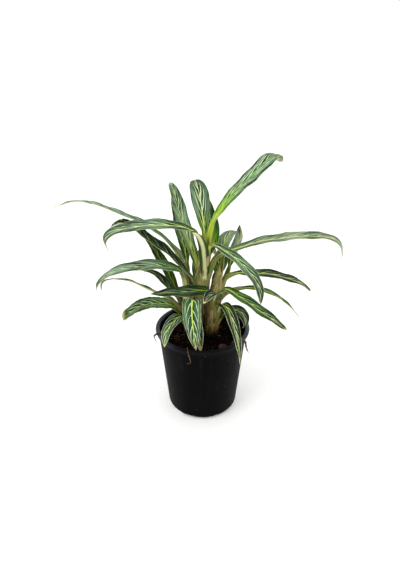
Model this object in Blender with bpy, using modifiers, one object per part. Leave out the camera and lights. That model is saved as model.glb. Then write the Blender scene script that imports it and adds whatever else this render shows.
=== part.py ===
"""A potted aglaonema: a plastic nursery pot, its potting mix, six sheathed shoots and their leaves.

Metres, +Z up, origin on the pot's axis at its flat underside. The viewer stands on the -Y side.
"""

import math

import bmesh
import bpy
from mathutils import Matrix, Vector, noise

MM = 0.001

# Clearance between two pieces that touch
GAP = 0.3 * MM
MERGE = 0.00005

# Pot: a straight taper with a rolled lip, a rounded bottom corner and drain slots cut through that corner
RIM_RADIUS = 60.0 * MM
POT_HEIGHT = 116.0 * MM
BASE_RADIUS = 45.5 * MM
WALL = 1.4 * MM
FLOOR = 1.8 * MM
CORNER = 6.5 * MM
LIP_HEIGHT = 4.0 * MM
LIP_OUT = 3.8 * MM
LIP_UNDERCUT = 0.4 * MM
LIP_ROUND = 0.7 * MM
POT_SIDES = 40
DRAIN_SLOTS = 8
DRAIN_WIDTH = 7.0 * MM
DRAIN_HEIGHT = 4.0 * MM
DRAIN_REACH = 15.6 * MM

# Potting mix, lumpy on top and heaped up round the shoots
SOIL_TOP = 101.0 * MM
SOIL_RINGS = 9
SOIL_SIDES = 36
SOIL_LUMP = 1.8 * MM
SOIL_LUMP_SIZE = 9.0 * MM
MOUND = 5.0 * MM
MOUND_REACH = 34.0 * MM
MOUND_MIDDLE = (-1.0 * MM, 13.0 * MM)

# Shoots: each is a pale false stem of rolled leaf bases, one step thinner at every sheath's upper edge, and its
# top is a new leaf still rolled to a point
BURIED = 30.0 * MM
BURIED_SHARE = 0.55
CROWN = 26.0 * MM
CROWN_NARROWS = 0.92
CROWN_CURVE = 1.7
CROWN_PARTS = (0.0, 0.3, 0.55, 0.8, 1.0)
SHEATH_LENGTH = 15.0 * MM
SHEATH_STEP = 0.5 * MM

# Leaves
BLADE_EDGE = 0.8 * MM
MIDRIB = 2.2 * MM
KEEL_FADE = 0.6
STALK_HALF = 2.5
STALK_THICK = 3.0
RISE = 0.55
OPENING = 0.3
TIP_HALF = 0.9 * MM
STATION = 9.0 * MM
WAVE = 0.8 * MM
WAVE_LENGTH = 30.0 * MM
ACROSS = (-1.0, -0.5, 0.0, 0.5, 1.0)

# Each shoot's axis where it leaves the mix and at its top, in millimetres, and its radius at both
SHOOTS = {
    "centre": dict(foot=(-4, 15), top=(3, 9, 236), radii=(8.0, 5.2)),
    "left": dict(foot=(-16, 5), top=(-18, 0, 176), radii=(7.2, 6.0)),
    "right": dict(foot=(10.5, 4), top=(18, -5, 180), radii=(9.6, 5.6)),
    "back": dict(foot=(9, 24), top=(21, 14, 194), radii=(7.0, 5.0)),
    "front": dict(foot=(-5, -6), top=(-8, -14, 158), radii=(6.0, 5.0)),
    "rear": dict(foot=(-15, 26), top=(-14, 28, 160), radii=(6.0, 5.0)),
}

# The leaves of each shoot. A leaf leans out from the shoot's axis in one upright plane: azimuth is the way that
# plane faces, in degrees from +X towards +Y, and path is the midrib's reach and height in millimetres, with a
# third number where it swings to the left of the plane. width is the blade's and stalk the bare stalk's length,
# fold the rise of the blade's two halves and point how fast the blade narrows towards its tip. Some leaves also
# give rise, how slowly the blade widens (RISE for the rest), roll, the turn about the midrib at root and tip,
# and half and thick, half the stalk's width and its thickness (STALK_HALF and STALK_THICK for the rest).
LEAVES = {
    "centre": [
        dict(azimuth=38, width=26, stalk=42, fold=-4, point=0.2, half=3.0,
             path=[(4.6, 206, -2), (4.6, 226, -3), (7, 240, -3), (14, 251, -1), (31, 268), (48, 281),
                   (69, 293), (87, 304), (102, 313), (110, 316), (116, 313), (119, 306)]),
        dict(azimuth=100, width=22.5, stalk=36, fold=8, point=0.45, rise=0.85,
             path=[(4.6, 196), (5, 220, -1), (8, 238, -2), (12, 256, -1), (20, 270), (30, 282, 1),
                   (46, 290, 3)]),
        dict(azimuth=80, width=20, stalk=24, fold=8, point=0.7,
             path=[(4.6, 182, -1), (10, 206, -6), (20, 232, -8), (30, 256), (38, 272, 7),
                   (43, 280, 10)]),
        dict(azimuth=194, width=22, stalk=26, fold=8, point=0.6, roll=(0, -13),
             path=[(4.6, 210), (4.6, 228), (9, 240), (17, 244), (26, 248), (41, 251), (57, 253),
                   (76, 253), (91, 252), (107, 248), (115, 240), (113, 227)]),
        dict(azimuth=322, width=19, stalk=24, fold=6, point=0.5,
             path=[(4.6, 202), (6, 218), (11, 226), (16, 227), (32, 223), (52, 215), (69, 203),
                   (77, 194), (81, 184), (83, 170)]),
        dict(azimuth=270, width=15, stalk=6, fold=34, point=0.7,
             path=[(4.6, 174, 2), (8, 192, 3), (12, 210, 2), (14, 226, 0), (14, 238, -5),
                   (13, 243, -12)]),
        dict(azimuth=139, width=21, stalk=4, fold=8, point=0.45, rise=0.9,
             path=[(4.6, 168), (8, 188), (15, 207), (25, 228), (31, 243), (37, 257), (41, 269),
                   (46, 280), (52, 289)]),
        dict(azimuth=182, width=19, stalk=4, fold=14, point=0.7, rise=0.8, roll=(0, -10),
             path=[(4.6, 160), (9, 174), (25, 194), (44, 215), (66, 232), (80, 246), (92, 251.5),
                   (103, 249), (109, 243)]),
        dict(azimuth=352, width=17, stalk=60, fold=10, point=0.55, roll=(0, 12), half=3.6, thick=4.6,
             path=[(5, 148), (8, 173), (12, 196), (18, 208), (32, 216), (46, 221), (69, 230),
                   (92, 235), (114, 239), (139, 240), (154, 237), (163, 227), (165, 213)]),
    ],
    "left": [
        dict(azimuth=158, width=15, stalk=20, fold=10, point=0.7, roll=(0, -18), half=3.2,
             path=[(4.6, 140, -1.6), (11, 152, -1.6), (21, 170, -1), (33, 194), (48, 217), (56, 228), (60, 233)]),
        dict(azimuth=198, width=21, stalk=32, fold=8, point=1.0, roll=(0, -12), half=3.4,
             path=[(4.6, 150), (4.6, 176), (8, 190), (14, 197), (26, 202), (43, 206), (61, 207),
                   (82, 206), (93, 203), (102, 198), (109, 191), (112, 180)]),
        dict(azimuth=198, width=16, stalk=22, fold=8, point=0.9, roll=(0, -25),
             path=[(4.6, 135), (12, 154), (23, 171), (38, 191), (47, 198), (57, 201)]),
        dict(azimuth=206, width=8, stalk=44, fold=16, point=1.9, half=3.0,
             path=[(4.6, 122), (10, 137), (20, 155), (26, 161), (37, 168), (55, 181), (73, 194),
                   (91, 201), (98, 202), (104, 201), (108, 197), (109, 190)]),
        dict(azimuth=182, width=21, stalk=12, fold=8, point=0.25, roll=(0, -18), half=3.0,
             path=[(4.6, 111), (8, 123), (13, 134), (21, 143), (30, 146), (46, 147), (57, 145),
                   (67, 141), (77, 133), (86, 126)]),
        dict(azimuth=239, width=17, stalk=16, fold=8, point=0.8,
             path=[(4.6, 111, 1.2), (8, 121, 1), (13, 131), (20, 138), (32, 139), (44, 137), (52, 131),
                   (56, 123), (58, 114)]),
    ],
    "right": [
        dict(azimuth=202, width=19, stalk=8, fold=6, point=0.8, rise=0.35, roll=(0, -20),
             path=[(5, 158), (5.6, 165), (10, 170), (20, 172), (40, 174), (58, 177), (71, 178),
                   (84, 180)]),
        dict(azimuth=230, width=18, stalk=24, fold=14, point=0.9,
             path=[(5, 138), (7, 152, 4), (8.5, 164, 9), (13, 172, 12.5), (24, 174, 13), (35, 168, 12)]),
        dict(azimuth=328, width=19, stalk=20, fold=8, point=0.6, half=3.0,
             path=[(5.6, 150), (6.5, 164), (11, 172), (18, 174), (33, 169), (52, 162), (62, 157),
                   (76, 152), (87, 147), (96, 143)]),
        dict(azimuth=301, width=15, stalk=14, fold=8, point=1.1,
             path=[(5, 128), (9, 140), (14, 151), (22, 157), (35, 154), (47, 139), (55, 124),
                   (60, 106), (62, 94)]),
        dict(azimuth=347, width=14, stalk=14, fold=8, point=0.8, roll=(0, 55),
             path=[(5, 116), (12, 130), (24, 139), (33, 141), (40, 136), (43, 129), (43, 121),
                   (39, 116)]),
        dict(azimuth=8, width=9, stalk=44, fold=18, point=1.3, roll=(0, 20),
             path=[(5.6, 140), (8, 152), (15, 162), (26, 167), (39, 168), (52, 166), (68, 160),
                   (86, 149), (101, 135), (114, 119)]),
    ],
    "back": [
        dict(azimuth=6, width=16, stalk=40, fold=8, point=0.6, roll=(0, 16), half=2.8,
             path=[(5, 144), (8, 159), (12, 170), (18, 177), (32, 180), (55, 178), (68, 177),
                   (80, 174), (103, 166), (118, 158), (129, 148)]),
        dict(azimuth=52, width=18, stalk=30, fold=8, point=0.5,
             path=[(5, 172), (8, 184), (10, 197), (11, 210), (15, 221), (26, 227), (37, 228)]),
        dict(azimuth=36, width=16, stalk=54, fold=14, point=0.6, half=2.8,
             path=[(5, 132), (12, 147), (18, 162), (24, 176), (29, 189), (34, 201), (39, 212),
                   (43, 223), (42, 236)]),
        dict(azimuth=72, width=20, stalk=24, fold=8, point=0.8,
             path=[(4.6, 144), (18, 172), (36, 186), (56, 192), (74, 186), (86, 172)]),
    ],
    "front": [
        dict(azimuth=268, width=22, stalk=18, fold=8, point=0.85, rise=0.45,
             path=[(4.6, 138, -1), (7, 152, -3), (9, 161, -4), (13, 167, -5), (20, 168, -5),
                   (28, 163, -5), (34, 149, -4), (38, 131, -2), (39, 113)]),
        dict(azimuth=277, width=16, stalk=10, fold=12, point=1.0,
             path=[(4.6, 122, -3), (10, 138, -7), (17, 146, -8), (25, 141, -6), (31, 128, -3),
                   (35, 104)]),
    ],
    "rear": [
        dict(azimuth=132, width=16, stalk=56, fold=10, point=0.7,
             path=[(4.6, 132), (6, 155), (7, 182), (12, 206), (22, 228), (29, 250), (36, 270)]),
        dict(azimuth=186, width=14, stalk=90, fold=10, point=1.0, half=3.4, thick=5.6,
             path=[(4.6, 124, 1.5), (6, 155, 1.5), (9, 190), (13, 206), (22, 217), (34, 229), (43, 236),
                   (62, 250), (78, 257), (94, 265), (114, 273), (134, 276), (158, 270)]),
        dict(azimuth=90, width=18, stalk=20, fold=8, point=0.8,
             path=[(4.6, 118), (16, 140), (32, 150), (50, 146), (64, 132), (72, 114)]),
        dict(azimuth=66, width=19, stalk=22, fold=8, point=0.8,
             path=[(4.6, 142), (12, 166), (26, 184), (46, 190), (66, 184), (82, 168)]),
    ],
}

# Bits that lie about: each rootlet is a list of (x, y, z, radius), and the pebble a middle and three half sizes
ROOTLETS = {
    "rootlet_front": [(-19.5, -42, 104, 0.5), (-18.8, -46.5, 111, 0.45), (-18.3, -50.5, 116.4, 0.4),
                      (-17.8, -54.5, 116.75, 0.4), (-17.2, -60, 115.6, 0.45), (-15, -60.9, 107, 0.5),
                      (-14.4, -59.5, 102, 0.45), (-16.6, -59.4, 100.4, 0.4), (-19.5, -59.6, 100, 0.35)],
    "rootlet_left": [(-43, -16.5, 104, 0.8), (-47, -18, 112, 1.1), (-50, -19, 117.5, 1.4), (-55.5, -21, 117.4, 1.3),
                     (-60, -22.8, 115.2, 0.9), (-59, -24.5, 111.5, 0.45), (-57, -26.5, 108, 0.35)],
    "rootlet_right": [(35, -25, 104, 0.8), (40, -28.5, 112, 1.0), (42.5, -30, 117.2, 1.2), (47, -33.2, 117.6, 1.3),
                      (51.5, -36.2, 115.6, 1.3), (53, -37.2, 108, 0.9), (56, -38.5, 101, 0.5)],
}
PEBBLE = ((25, -31, 103.5), (5.8, 5.0, 4.2))

COLOURS = {
    "pot": ((0.012, 0.012, 0.014), 0.42),
    "soil": ((0.035, 0.024, 0.018), 0.95),
    "shoot": ((0.55, 0.47, 0.26), 0.6),
    "leaf": ((0.045, 0.16, 0.05), 0.4),
    "pebble": ((0.22, 0.09, 0.07), 0.85),
    "root": ((0.20, 0.12, 0.07), 0.9),
}


def clear_scene():
    for thing in list(bpy.data.objects):
        bpy.data.objects.remove(thing)


def make_collection(name):
    collection = bpy.data.collections.new(name)
    bpy.context.scene.collection.children.link(collection)
    return collection


def material(kind):
    """The kind's Principled material, made once and shared by its pieces."""
    found = bpy.data.materials.get(kind)
    if found:
        return found
    colour, roughness = COLOURS[kind]
    found = bpy.data.materials.new(kind)
    found.use_nodes = True
    shader = found.node_tree.nodes["Principled BSDF"]
    shader.inputs["Base Color"].default_value = (*colour, 1.0)
    shader.inputs["Roughness"].default_value = roughness
    shader.inputs["Metallic"].default_value = 0.0
    return found


def add_mesh(name, mesh, kind, collection):
    thing = bpy.data.objects.new(name, mesh)
    collection.objects.link(thing)
    if kind:
        mesh.materials.append(material(kind))
    else:
        thing.hide_render = True
        thing.display_type = "WIRE"
    return thing


def smooth(mesh, degrees=35):
    mesh.shade_smooth()
    mesh.set_sharp_from_angle(angle=math.radians(degrees))


def cut(thing, cutter):
    boolean = thing.modifiers.new("cut " + cutter.name, "BOOLEAN")
    boolean.operation = "DIFFERENCE"
    boolean.object = cutter


def turned(name, profile, sides, kind, collection):
    """A profile of (radius, height) points, outer side first from top to bottom, turned about the pot's axis."""
    mesh = bpy.data.meshes.new(name)
    points = [(radius, 0.0, height) for radius, height in profile]
    mesh.from_pydata(points, [(i, i + 1) for i in range(len(points) - 1)], [])
    thing = add_mesh(name, mesh, kind, collection)
    screw = thing.modifiers.new("turn", "SCREW")
    screw.steps = sides
    screw.render_steps = sides
    screw.use_merge_vertices = True
    screw.merge_threshold = MERGE
    screw.use_smooth_shade = True
    return thing


def apply_modifiers(thing):
    """The object with its modifiers made part of its mesh."""
    graph = bpy.context.evaluated_depsgraph_get()
    mesh = bpy.data.meshes.new_from_object(thing.evaluated_get(graph))
    thing.modifiers.clear()
    thing.data = mesh
    return thing


def arc(centre, radius, start, end, steps):
    """Points of (radius, height) round an arc, angles in degrees."""
    angles = [math.radians(start + (end - start) * i / steps) for i in range(steps + 1)]
    return [(centre[0] + radius * math.cos(a), centre[1] + radius * math.sin(a)) for a in angles]


def wall_radius(height):
    """The pot's outer radius below its lip."""
    under_lip = RIM_RADIUS - LIP_OUT
    return BASE_RADIUS + (under_lip - BASE_RADIUS) * height / (POT_HEIGHT - LIP_HEIGHT)


def pot_profile():
    lip = LIP_HEIGHT / 2
    inside = wall_radius(POT_HEIGHT - LIP_HEIGHT) - WALL
    profile = arc((RIM_RADIUS - lip, POT_HEIGHT - lip), lip, 90, -60, 4)
    profile.append((wall_radius(POT_HEIGHT - LIP_HEIGHT), POT_HEIGHT - LIP_HEIGHT - LIP_UNDERCUT))
    profile += arc((wall_radius(CORNER) - CORNER, CORNER), CORNER, 0, -90, 4)
    profile += [(0.0, 0.0), (0.0, FLOOR)]
    hollow = CORNER - WALL
    profile += arc((wall_radius(CORNER) - CORNER, FLOOR + hollow), hollow, -90, 0, 3)
    profile += [(inside, POT_HEIGHT - LIP_HEIGHT), (inside, POT_HEIGHT - LIP_ROUND), (inside + LIP_ROUND, POT_HEIGHT)]
    profile.append(profile[0])
    return profile


def make_pot(parts, cutters):
    pot = turned("pot", pot_profile(), POT_SIDES, "pot", parts)
    for i in range(DRAIN_SLOTS):
        angle = 2 * math.pi * (i + 0.5) / DRAIN_SLOTS
        mesh = bpy.data.meshes.new(f"drain_cutter_{i + 1}")
        shape = bmesh.new()
        bmesh.ops.create_cube(shape, size=1.0)
        bmesh.ops.scale(shape, vec=(DRAIN_REACH, DRAIN_WIDTH, 2 * DRAIN_HEIGHT), verts=shape.verts)
        bmesh.ops.translate(shape, vec=(BASE_RADIUS, 0, 0), verts=shape.verts)
        bmesh.ops.rotate(shape, cent=(0, 0, 0), matrix=Matrix.Rotation(angle, 3, "Z"), verts=shape.verts)
        shape.to_mesh(mesh)
        shape.free()
        cut(pot, add_mesh(mesh.name, mesh, None, cutters))
    return pot


def soil_lump(x, y):
    """How far the mix's surface stands above or below its mean level."""
    spot = Vector((x, y, 0.0)) / SOIL_LUMP_SIZE
    away = math.hypot(x - MOUND_MIDDLE[0], y - MOUND_MIDDLE[1]) / MOUND_REACH
    lump = noise.noise(spot) + 0.5 * noise.noise(spot * 2.3 + Vector((7.0, 3.0, 1.0)))
    return SOIL_LUMP * lump + MOUND * max(1 - away**2, 0.0) ** 2


def make_soil(parts):
    hollow = CORNER - WALL
    radius = wall_radius(CORNER) - CORNER + hollow - GAP
    bottom = FLOOR + GAP
    top_radius = wall_radius(SOIL_TOP) - WALL - GAP
    profile = [(top_radius * i / SOIL_RINGS, SOIL_TOP) for i in range(SOIL_RINGS + 1)]
    profile.append((radius, FLOOR + hollow))
    profile += arc((radius - hollow + GAP, FLOOR + hollow), hollow - GAP, -25, -90, 2)
    profile.append((0.0, bottom))
    soil = apply_modifiers(turned("soil", profile, SOIL_SIDES, "soil", parts))
    for vertex in soil.data.vertices:
        x, y, z = vertex.co
        if z > SOIL_TOP - MERGE:
            edge = min(1.0, (top_radius - math.hypot(x, y)) / SOIL_LUMP_SIZE)
            vertex.co.z += soil_lump(x, y) * max(edge, 0.0)
    return soil


def shoot_axis(shoot, height):
    """The point of the shoot's axis at this height, both in metres."""
    foot, top = SHOOTS[shoot]["foot"], SHOOTS[shoot]["top"]
    along = (height - SOIL_TOP) / (top[2] * MM - SOIL_TOP)
    x = foot[0] + (top[0] - foot[0]) * along
    y = foot[1] + (top[1] - foot[1]) * along
    return Vector((x * MM, y * MM, height))


def shoot_rings(shoot, grow):
    """(height, radius) up the shoot: a small step at each sheath's upper edge, then the pointed crown."""
    low, high = (r * MM for r in SHOOTS[shoot]["radii"])
    top = SHOOTS[shoot]["top"][2] * MM
    sheaths = round((top - SOIL_TOP) / SHEATH_LENGTH)
    rings = [(SOIL_TOP - BURIED - grow, BURIED_SHARE * low + grow), (SOIL_TOP, low + grow)]
    for i in range(1, sheaths):
        height = SOIL_TOP + (top - SOIL_TOP) * i / sheaths
        if height > top - CROWN - 2 * SHEATH_STEP:
            break
        radius = low + (high - low) * i / sheaths + grow
        rings += [(height, radius + SHEATH_STEP / 2), (height + SHEATH_STEP, radius - SHEATH_STEP / 2)]
    for part in CROWN_PARTS:
        height = top - CROWN * (1 - part)
        radius = low + (high - low) * (height - SOIL_TOP) / (top - SOIL_TOP)
        rings.append((height + grow * part, radius * (1 - CROWN_NARROWS * part**CROWN_CURVE) + grow))
    return rings


def shoot_mesh(name, shoot, grow=0.0, until=None):
    """A tube with a radius at each ring, made a mesh and closed at both ends."""
    rings = [ring for ring in shoot_rings(shoot, grow) if until is None or ring[0] < until]
    curve = bpy.data.curves.new(name, "CURVE")
    curve.dimensions = "3D"
    curve.bevel_depth = 1.0
    curve.bevel_resolution = 4
    curve.use_fill_caps = True
    line = curve.splines.new("POLY")
    line.points.add(len(rings) - 1)
    for point, (height, radius) in zip(line.points, rings):
        point.co = (*shoot_axis(shoot, height), 1.0)
        point.radius = radius
    return curve_to_mesh(name, curve)


def curve_to_mesh(name, curve):
    guide = bpy.data.objects.new(name, curve)
    bpy.context.scene.collection.objects.link(guide)
    graph = bpy.context.evaluated_depsgraph_get()
    mesh = bpy.data.meshes.new_from_object(guide.evaluated_get(graph))
    bpy.data.objects.remove(guide)
    bpy.data.curves.remove(curve)
    shape = bmesh.new()
    shape.from_mesh(mesh)
    bmesh.ops.remove_doubles(shape, verts=shape.verts, dist=MERGE)
    bmesh.ops.recalc_face_normals(shape, faces=shape.faces)
    shape.to_mesh(mesh)
    shape.free()
    mesh.materials.clear()
    mesh.name = name
    return mesh


def midrib(shoot, leaf):
    """The leaf's midrib as a list of points one station apart, read from a smooth curve through its path."""
    lean = math.radians(leaf["azimuth"])
    out = Vector((math.cos(lean), math.sin(lean), 0.0))
    left = Vector((-out.y, out.x, 0.0))
    start = shoot_axis(shoot, leaf["path"][0][1] * MM)
    start.z = 0.0
    knots = []
    for reach, height, *swing in leaf["path"]:
        side = swing[0] * MM if swing else 0.0
        knots.append(start + out * (reach * MM) + left * side + Vector((0.0, 0.0, height * MM)))
    knots = [2 * knots[0] - knots[1], *knots, 2 * knots[-1] - knots[-2]]
    dense = []
    for a, b, c, d in zip(knots, knots[1:], knots[2:], knots[3:]):
        for i in range(12):
            t = i / 12
            dense.append(0.5 * (2 * b + (c - a) * t + (2 * a - 5 * b + 4 * c - d) * t**2
                                + (3 * b - a - 3 * c + d) * t**3))
    dense.append(knots[-2])
    return even_points(dense, left)


def even_points(dense, left):
    """(points, length along, left) of a dense line, resampled at equal steps."""
    reached = [0.0]
    for a, b in zip(dense, dense[1:]):
        reached.append(reached[-1] + (b - a).length)
    count = max(8, round(reached[-1] / STATION))
    points, at = [], 0
    for i in range(count + 1):
        want = reached[-1] * i / count
        while at < len(dense) - 2 and reached[at + 1] < want:
            at += 1
        part = (want - reached[at]) / (reached[at + 1] - reached[at])
        points.append(dense[at].lerp(dense[at + 1], min(part, 1.0)))
    return points, [reached[-1] * i / count for i in range(count + 1)], left


def half_width(leaf, along, length):
    """Half the leaf's width this far along it: a bare stalk that opens into a long blade."""
    stalk = leaf["stalk"] * MM
    stalk_half = leaf.get("half", STALK_HALF) * MM
    plain = stalk_half + (TIP_HALF - stalk_half) * along / length
    u = min(max((along - stalk) / (length - stalk), 0.0), 1.0)
    if u <= 0.0:
        return plain
    rise, fall = leaf.get("rise", RISE), leaf["point"]
    widest = rise / (rise + fall)
    shape = (u**rise * (1 - u) ** fall) / (widest**rise * (1 - widest) ** fall)
    blade = shape * leaf["width"] * MM / 2
    return (plain**4 + blade**4) ** 0.25


def leaf_sections(shoot, leaf, grow):
    """At each station, the points across the leaf's upper face and those across its underside."""
    points, reached, left = midrib(shoot, leaf)
    length = reached[-1]
    stalk = leaf["stalk"] * MM
    thick = leaf.get("thick", STALK_THICK) * MM
    roll = leaf.get("roll", (0, 0))
    rolled_by = stalk + OPENING * (length - stalk)
    sections = []
    for i, (point, along) in enumerate(zip(points, reached)):
        ahead = points[min(i + 1, len(points) - 1)] - points[max(i - 1, 0)]
        ahead.normalize()
        side = (left - ahead * left.dot(ahead)).normalized()
        part = min(along / rolled_by, 1.0)
        turn = math.radians(roll[0] + (roll[1] - roll[0]) * part**2 * (3 - 2 * part))
        side = Matrix.Rotation(turn, 3, ahead) @ side
        up = ahead.cross(side)
        blade = min(max((along - stalk) / (OPENING * (length - stalk)), 0.0), 1.0)
        fade = max((along - stalk) / (length - stalk), 0.0)
        half = half_width(leaf, along, length) + grow
        rise = math.radians(leaf["fold"] * blade)
        edge = BLADE_EDGE + 2 * grow
        keel = (thick + (MIDRIB - thick) * blade) * (1 - KEEL_FADE * fade) + 2 * grow
        top, bottom = [], []
        for t in ACROSS:
            wave = WAVE * blade * t * t * math.sin(2 * math.pi * along / WAVE_LENGTH + leaf["azimuth"] + t)
            lift = half * abs(t) * math.sin(rise) + wave
            middle = point + side * (half * t * math.cos(rise)) + up * lift
            top.append(middle + up * (edge / 2))
            bottom.append(middle - up * (edge / 2 + max(keel - edge, 0.0) * (1 - t * t)))
        sections.append((top, bottom))
    if grow:
        back = (points[0] - points[1]).normalized() * grow
        sections[0] = tuple([p + back for p in row] for row in sections[0])
    return sections


def leaf_mesh(name, shoot, leaf, grow=0.0, until=None):
    """A closed skin over the sections: both faces split into the same triangles, and both ends capped."""
    sections = leaf_sections(shoot, leaf, grow)[:until]
    shape = bmesh.new()
    rows = [([shape.verts.new(p) for p in top], [shape.verts.new(p) for p in bottom]) for top, bottom in sections]
    last = len(ACROSS) - 1
    for (top, bottom), (next_top, next_bottom) in zip(rows, rows[1:]):
        for j in range(last):
            if j < last / 2:
                shape.faces.new((top[j], top[j + 1], next_top[j]))
                shape.faces.new((top[j + 1], next_top[j + 1], next_top[j]))
                shape.faces.new((bottom[j], next_bottom[j], bottom[j + 1]))
                shape.faces.new((bottom[j + 1], next_bottom[j], next_bottom[j + 1]))
            else:
                shape.faces.new((top[j], top[j + 1], next_top[j + 1]))
                shape.faces.new((top[j], next_top[j + 1], next_top[j]))
                shape.faces.new((bottom[j], next_bottom[j + 1], bottom[j + 1]))
                shape.faces.new((bottom[j], next_bottom[j], next_bottom[j + 1]))
        shape.faces.new((bottom[0], top[0], next_top[0], next_bottom[0]))
        shape.faces.new((top[last], bottom[last], next_bottom[last], next_top[last]))
    for top, bottom in (rows[0], rows[-1]):
        for j in range(last):
            shape.faces.new((top[j], top[j + 1], bottom[j + 1], bottom[j]))
    bmesh.ops.recalc_face_normals(shape, faces=shape.faces)
    bmesh.ops.triangulate(shape, faces=[face for face in shape.faces if len(face.verts) > 3])
    mesh = bpy.data.meshes.new(name)
    shape.to_mesh(mesh)
    shape.free()
    smooth(mesh)
    return mesh


def make_rootlet(name, knots, parts):
    curve = bpy.data.curves.new(name, "CURVE")
    curve.dimensions = "3D"
    curve.bevel_depth = 1.0
    curve.bevel_resolution = 1
    curve.resolution_u = 3
    curve.use_fill_caps = True
    line = curve.splines.new("BEZIER")
    line.bezier_points.add(len(knots) - 1)
    for point, (x, y, z, radius) in zip(line.bezier_points, knots):
        point.co = (x * MM, y * MM, z * MM)
        point.radius = radius * MM
        point.handle_left_type = "AUTO"
        point.handle_right_type = "AUTO"
    add_mesh(name, curve_to_mesh(name, curve), "root", parts)


def pebble_mesh(name, grow):
    (x, y, z), halves = PEBBLE
    shape = bmesh.new()
    bmesh.ops.create_icosphere(shape, subdivisions=2, radius=1.0)
    for vertex in shape.verts:
        lump = 1 + 0.12 * noise.noise(vertex.co * 1.4)
        vertex.co = Vector([part * lump * (half * MM + grow) for part, half in zip(vertex.co, halves)])
    bmesh.ops.translate(shape, vec=(x * MM, y * MM, z * MM), verts=shape.verts)
    mesh = bpy.data.meshes.new(name)
    shape.to_mesh(mesh)
    shape.free()
    smooth(mesh)
    return mesh


def make_shoot(shoot, parts, cutters):
    """The shoot, a socket in it for each of its leaves, and those leaves."""
    stem = add_mesh("shoot_" + shoot, shoot_mesh("shoot_" + shoot, shoot), "shoot", parts)
    for i, leaf in enumerate(LEAVES[shoot]):
        name = f"leaf_{shoot}_{i + 1}"
        add_mesh(name, leaf_mesh(name, shoot, leaf), "leaf", parts)
        socket = leaf_mesh(name + "_socket", shoot, leaf, GAP, 7)
        cut(stem, add_mesh(socket.name, socket, None, cutters))


def main():
    clear_scene()
    parts = make_collection("potted_aglaonema")
    cutters = make_collection("cutters")
    make_pot(parts, cutters)
    soil = make_soil(parts)
    for shoot in SHOOTS:
        hole = shoot_mesh(shoot + "_hole", shoot, GAP, SOIL_TOP + 3 * SOIL_LUMP + SHEATH_LENGTH)
        cut(soil, add_mesh(hole.name, hole, None, cutters))
        make_shoot(shoot, parts, cutters)
    add_mesh("pebble", pebble_mesh("pebble", 0.0), "pebble", parts)
    cut(soil, add_mesh("pebble_hollow", pebble_mesh("pebble_hollow", GAP), None, cutters))
    for name, knots in ROOTLETS.items():
        make_rootlet(name, knots, parts)


main()
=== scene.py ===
import math

import bmesh
import bpy
import numpy as np
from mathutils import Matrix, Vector, noise


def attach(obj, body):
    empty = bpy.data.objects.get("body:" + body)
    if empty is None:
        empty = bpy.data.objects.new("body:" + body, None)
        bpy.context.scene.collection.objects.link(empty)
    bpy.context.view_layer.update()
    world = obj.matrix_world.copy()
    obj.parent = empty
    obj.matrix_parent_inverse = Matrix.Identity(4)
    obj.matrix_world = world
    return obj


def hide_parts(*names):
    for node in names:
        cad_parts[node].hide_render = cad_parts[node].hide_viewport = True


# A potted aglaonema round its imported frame. Lengths here are in millimetres and meshes are made in metres;
# +Z is up and the viewer stands on the -Y side.

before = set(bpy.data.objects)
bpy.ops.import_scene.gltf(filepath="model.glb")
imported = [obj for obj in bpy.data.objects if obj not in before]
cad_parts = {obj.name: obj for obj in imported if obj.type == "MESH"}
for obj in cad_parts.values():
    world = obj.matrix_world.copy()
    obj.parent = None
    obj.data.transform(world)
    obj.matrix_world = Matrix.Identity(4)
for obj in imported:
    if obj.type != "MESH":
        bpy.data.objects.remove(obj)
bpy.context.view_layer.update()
mm = 0.001
print("frame loaded,", len(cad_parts), "nodes")


# Small helpers for shapes

def ease(value, low, high):
    part = np.clip((np.asarray(value, float) - low) / (high - low), 0, 1)
    return part * part * (3 - 2 * part)


def mixed(a, b, part):
    return a + (b - a) * part


def smoothLine(knots, steps=16):
    # Catmull-Rom through the knots, in any number of columns
    knots = np.asarray(knots, float)
    knots = np.vstack([2 * knots[0] - knots[1], knots, 2 * knots[-1] - knots[-2]])
    t = np.linspace(0, 1, steps, endpoint=False)[:, None]
    runs = []
    for a, b, c, d in zip(knots, knots[1:], knots[2:], knots[3:]):
        square, cube = 2 * a - 5 * b + 4 * c - d, 3 * b - a - 3 * c + d
        runs.append(0.5 * (2 * b + (c - a) * t + square * t**2 + cube * t**3))
    return np.vstack([*runs, knots[-2:-1]])


def evenly(line, step):
    # The same line cut into equal steps, and how far along it each point is
    reach = np.concatenate([[0], np.cumsum(np.linalg.norm(np.diff(line[:, :3], axis=0), axis=1))])
    count = max(8, round(reach[-1] / step))
    at = np.linspace(0, reach[-1], count + 1)
    return np.column_stack([np.interp(at, reach, line[:, i]) for i in range(line.shape[1])]), at


def unit(rows):
    return rows / np.linalg.norm(rows, axis=1, keepdims=True)


def ripples(along, seed, lengths):
    # A wandering line between about -1 and 1 made from a few sines of these wavelengths
    draw = np.random.default_rng(seed)
    total = 0
    for length in lengths:
        total = total + math.sqrt(length) * np.sin(2 * math.pi * along / length + draw.uniform(0, 2 * math.pi))
    return total / sum(math.sqrt(length) for length in lengths)


def around(count):
    # Evenly spaced angles round a full turn
    return np.linspace(0, 2 * math.pi, count, endpoint=False)


def newMesh(name, points, faces):
    # Points come in millimetres
    mesh = bpy.data.meshes.new(name)
    mesh.from_pydata((np.asarray(points) * mm).tolist(), [], faces if isinstance(faces, list) else faces.tolist())
    return mesh


def placed(name, data):
    # An object with this data, put into the scene
    made = bpy.data.objects.new(name, data)
    bpy.context.scene.collection.objects.link(made)
    return made


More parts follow.
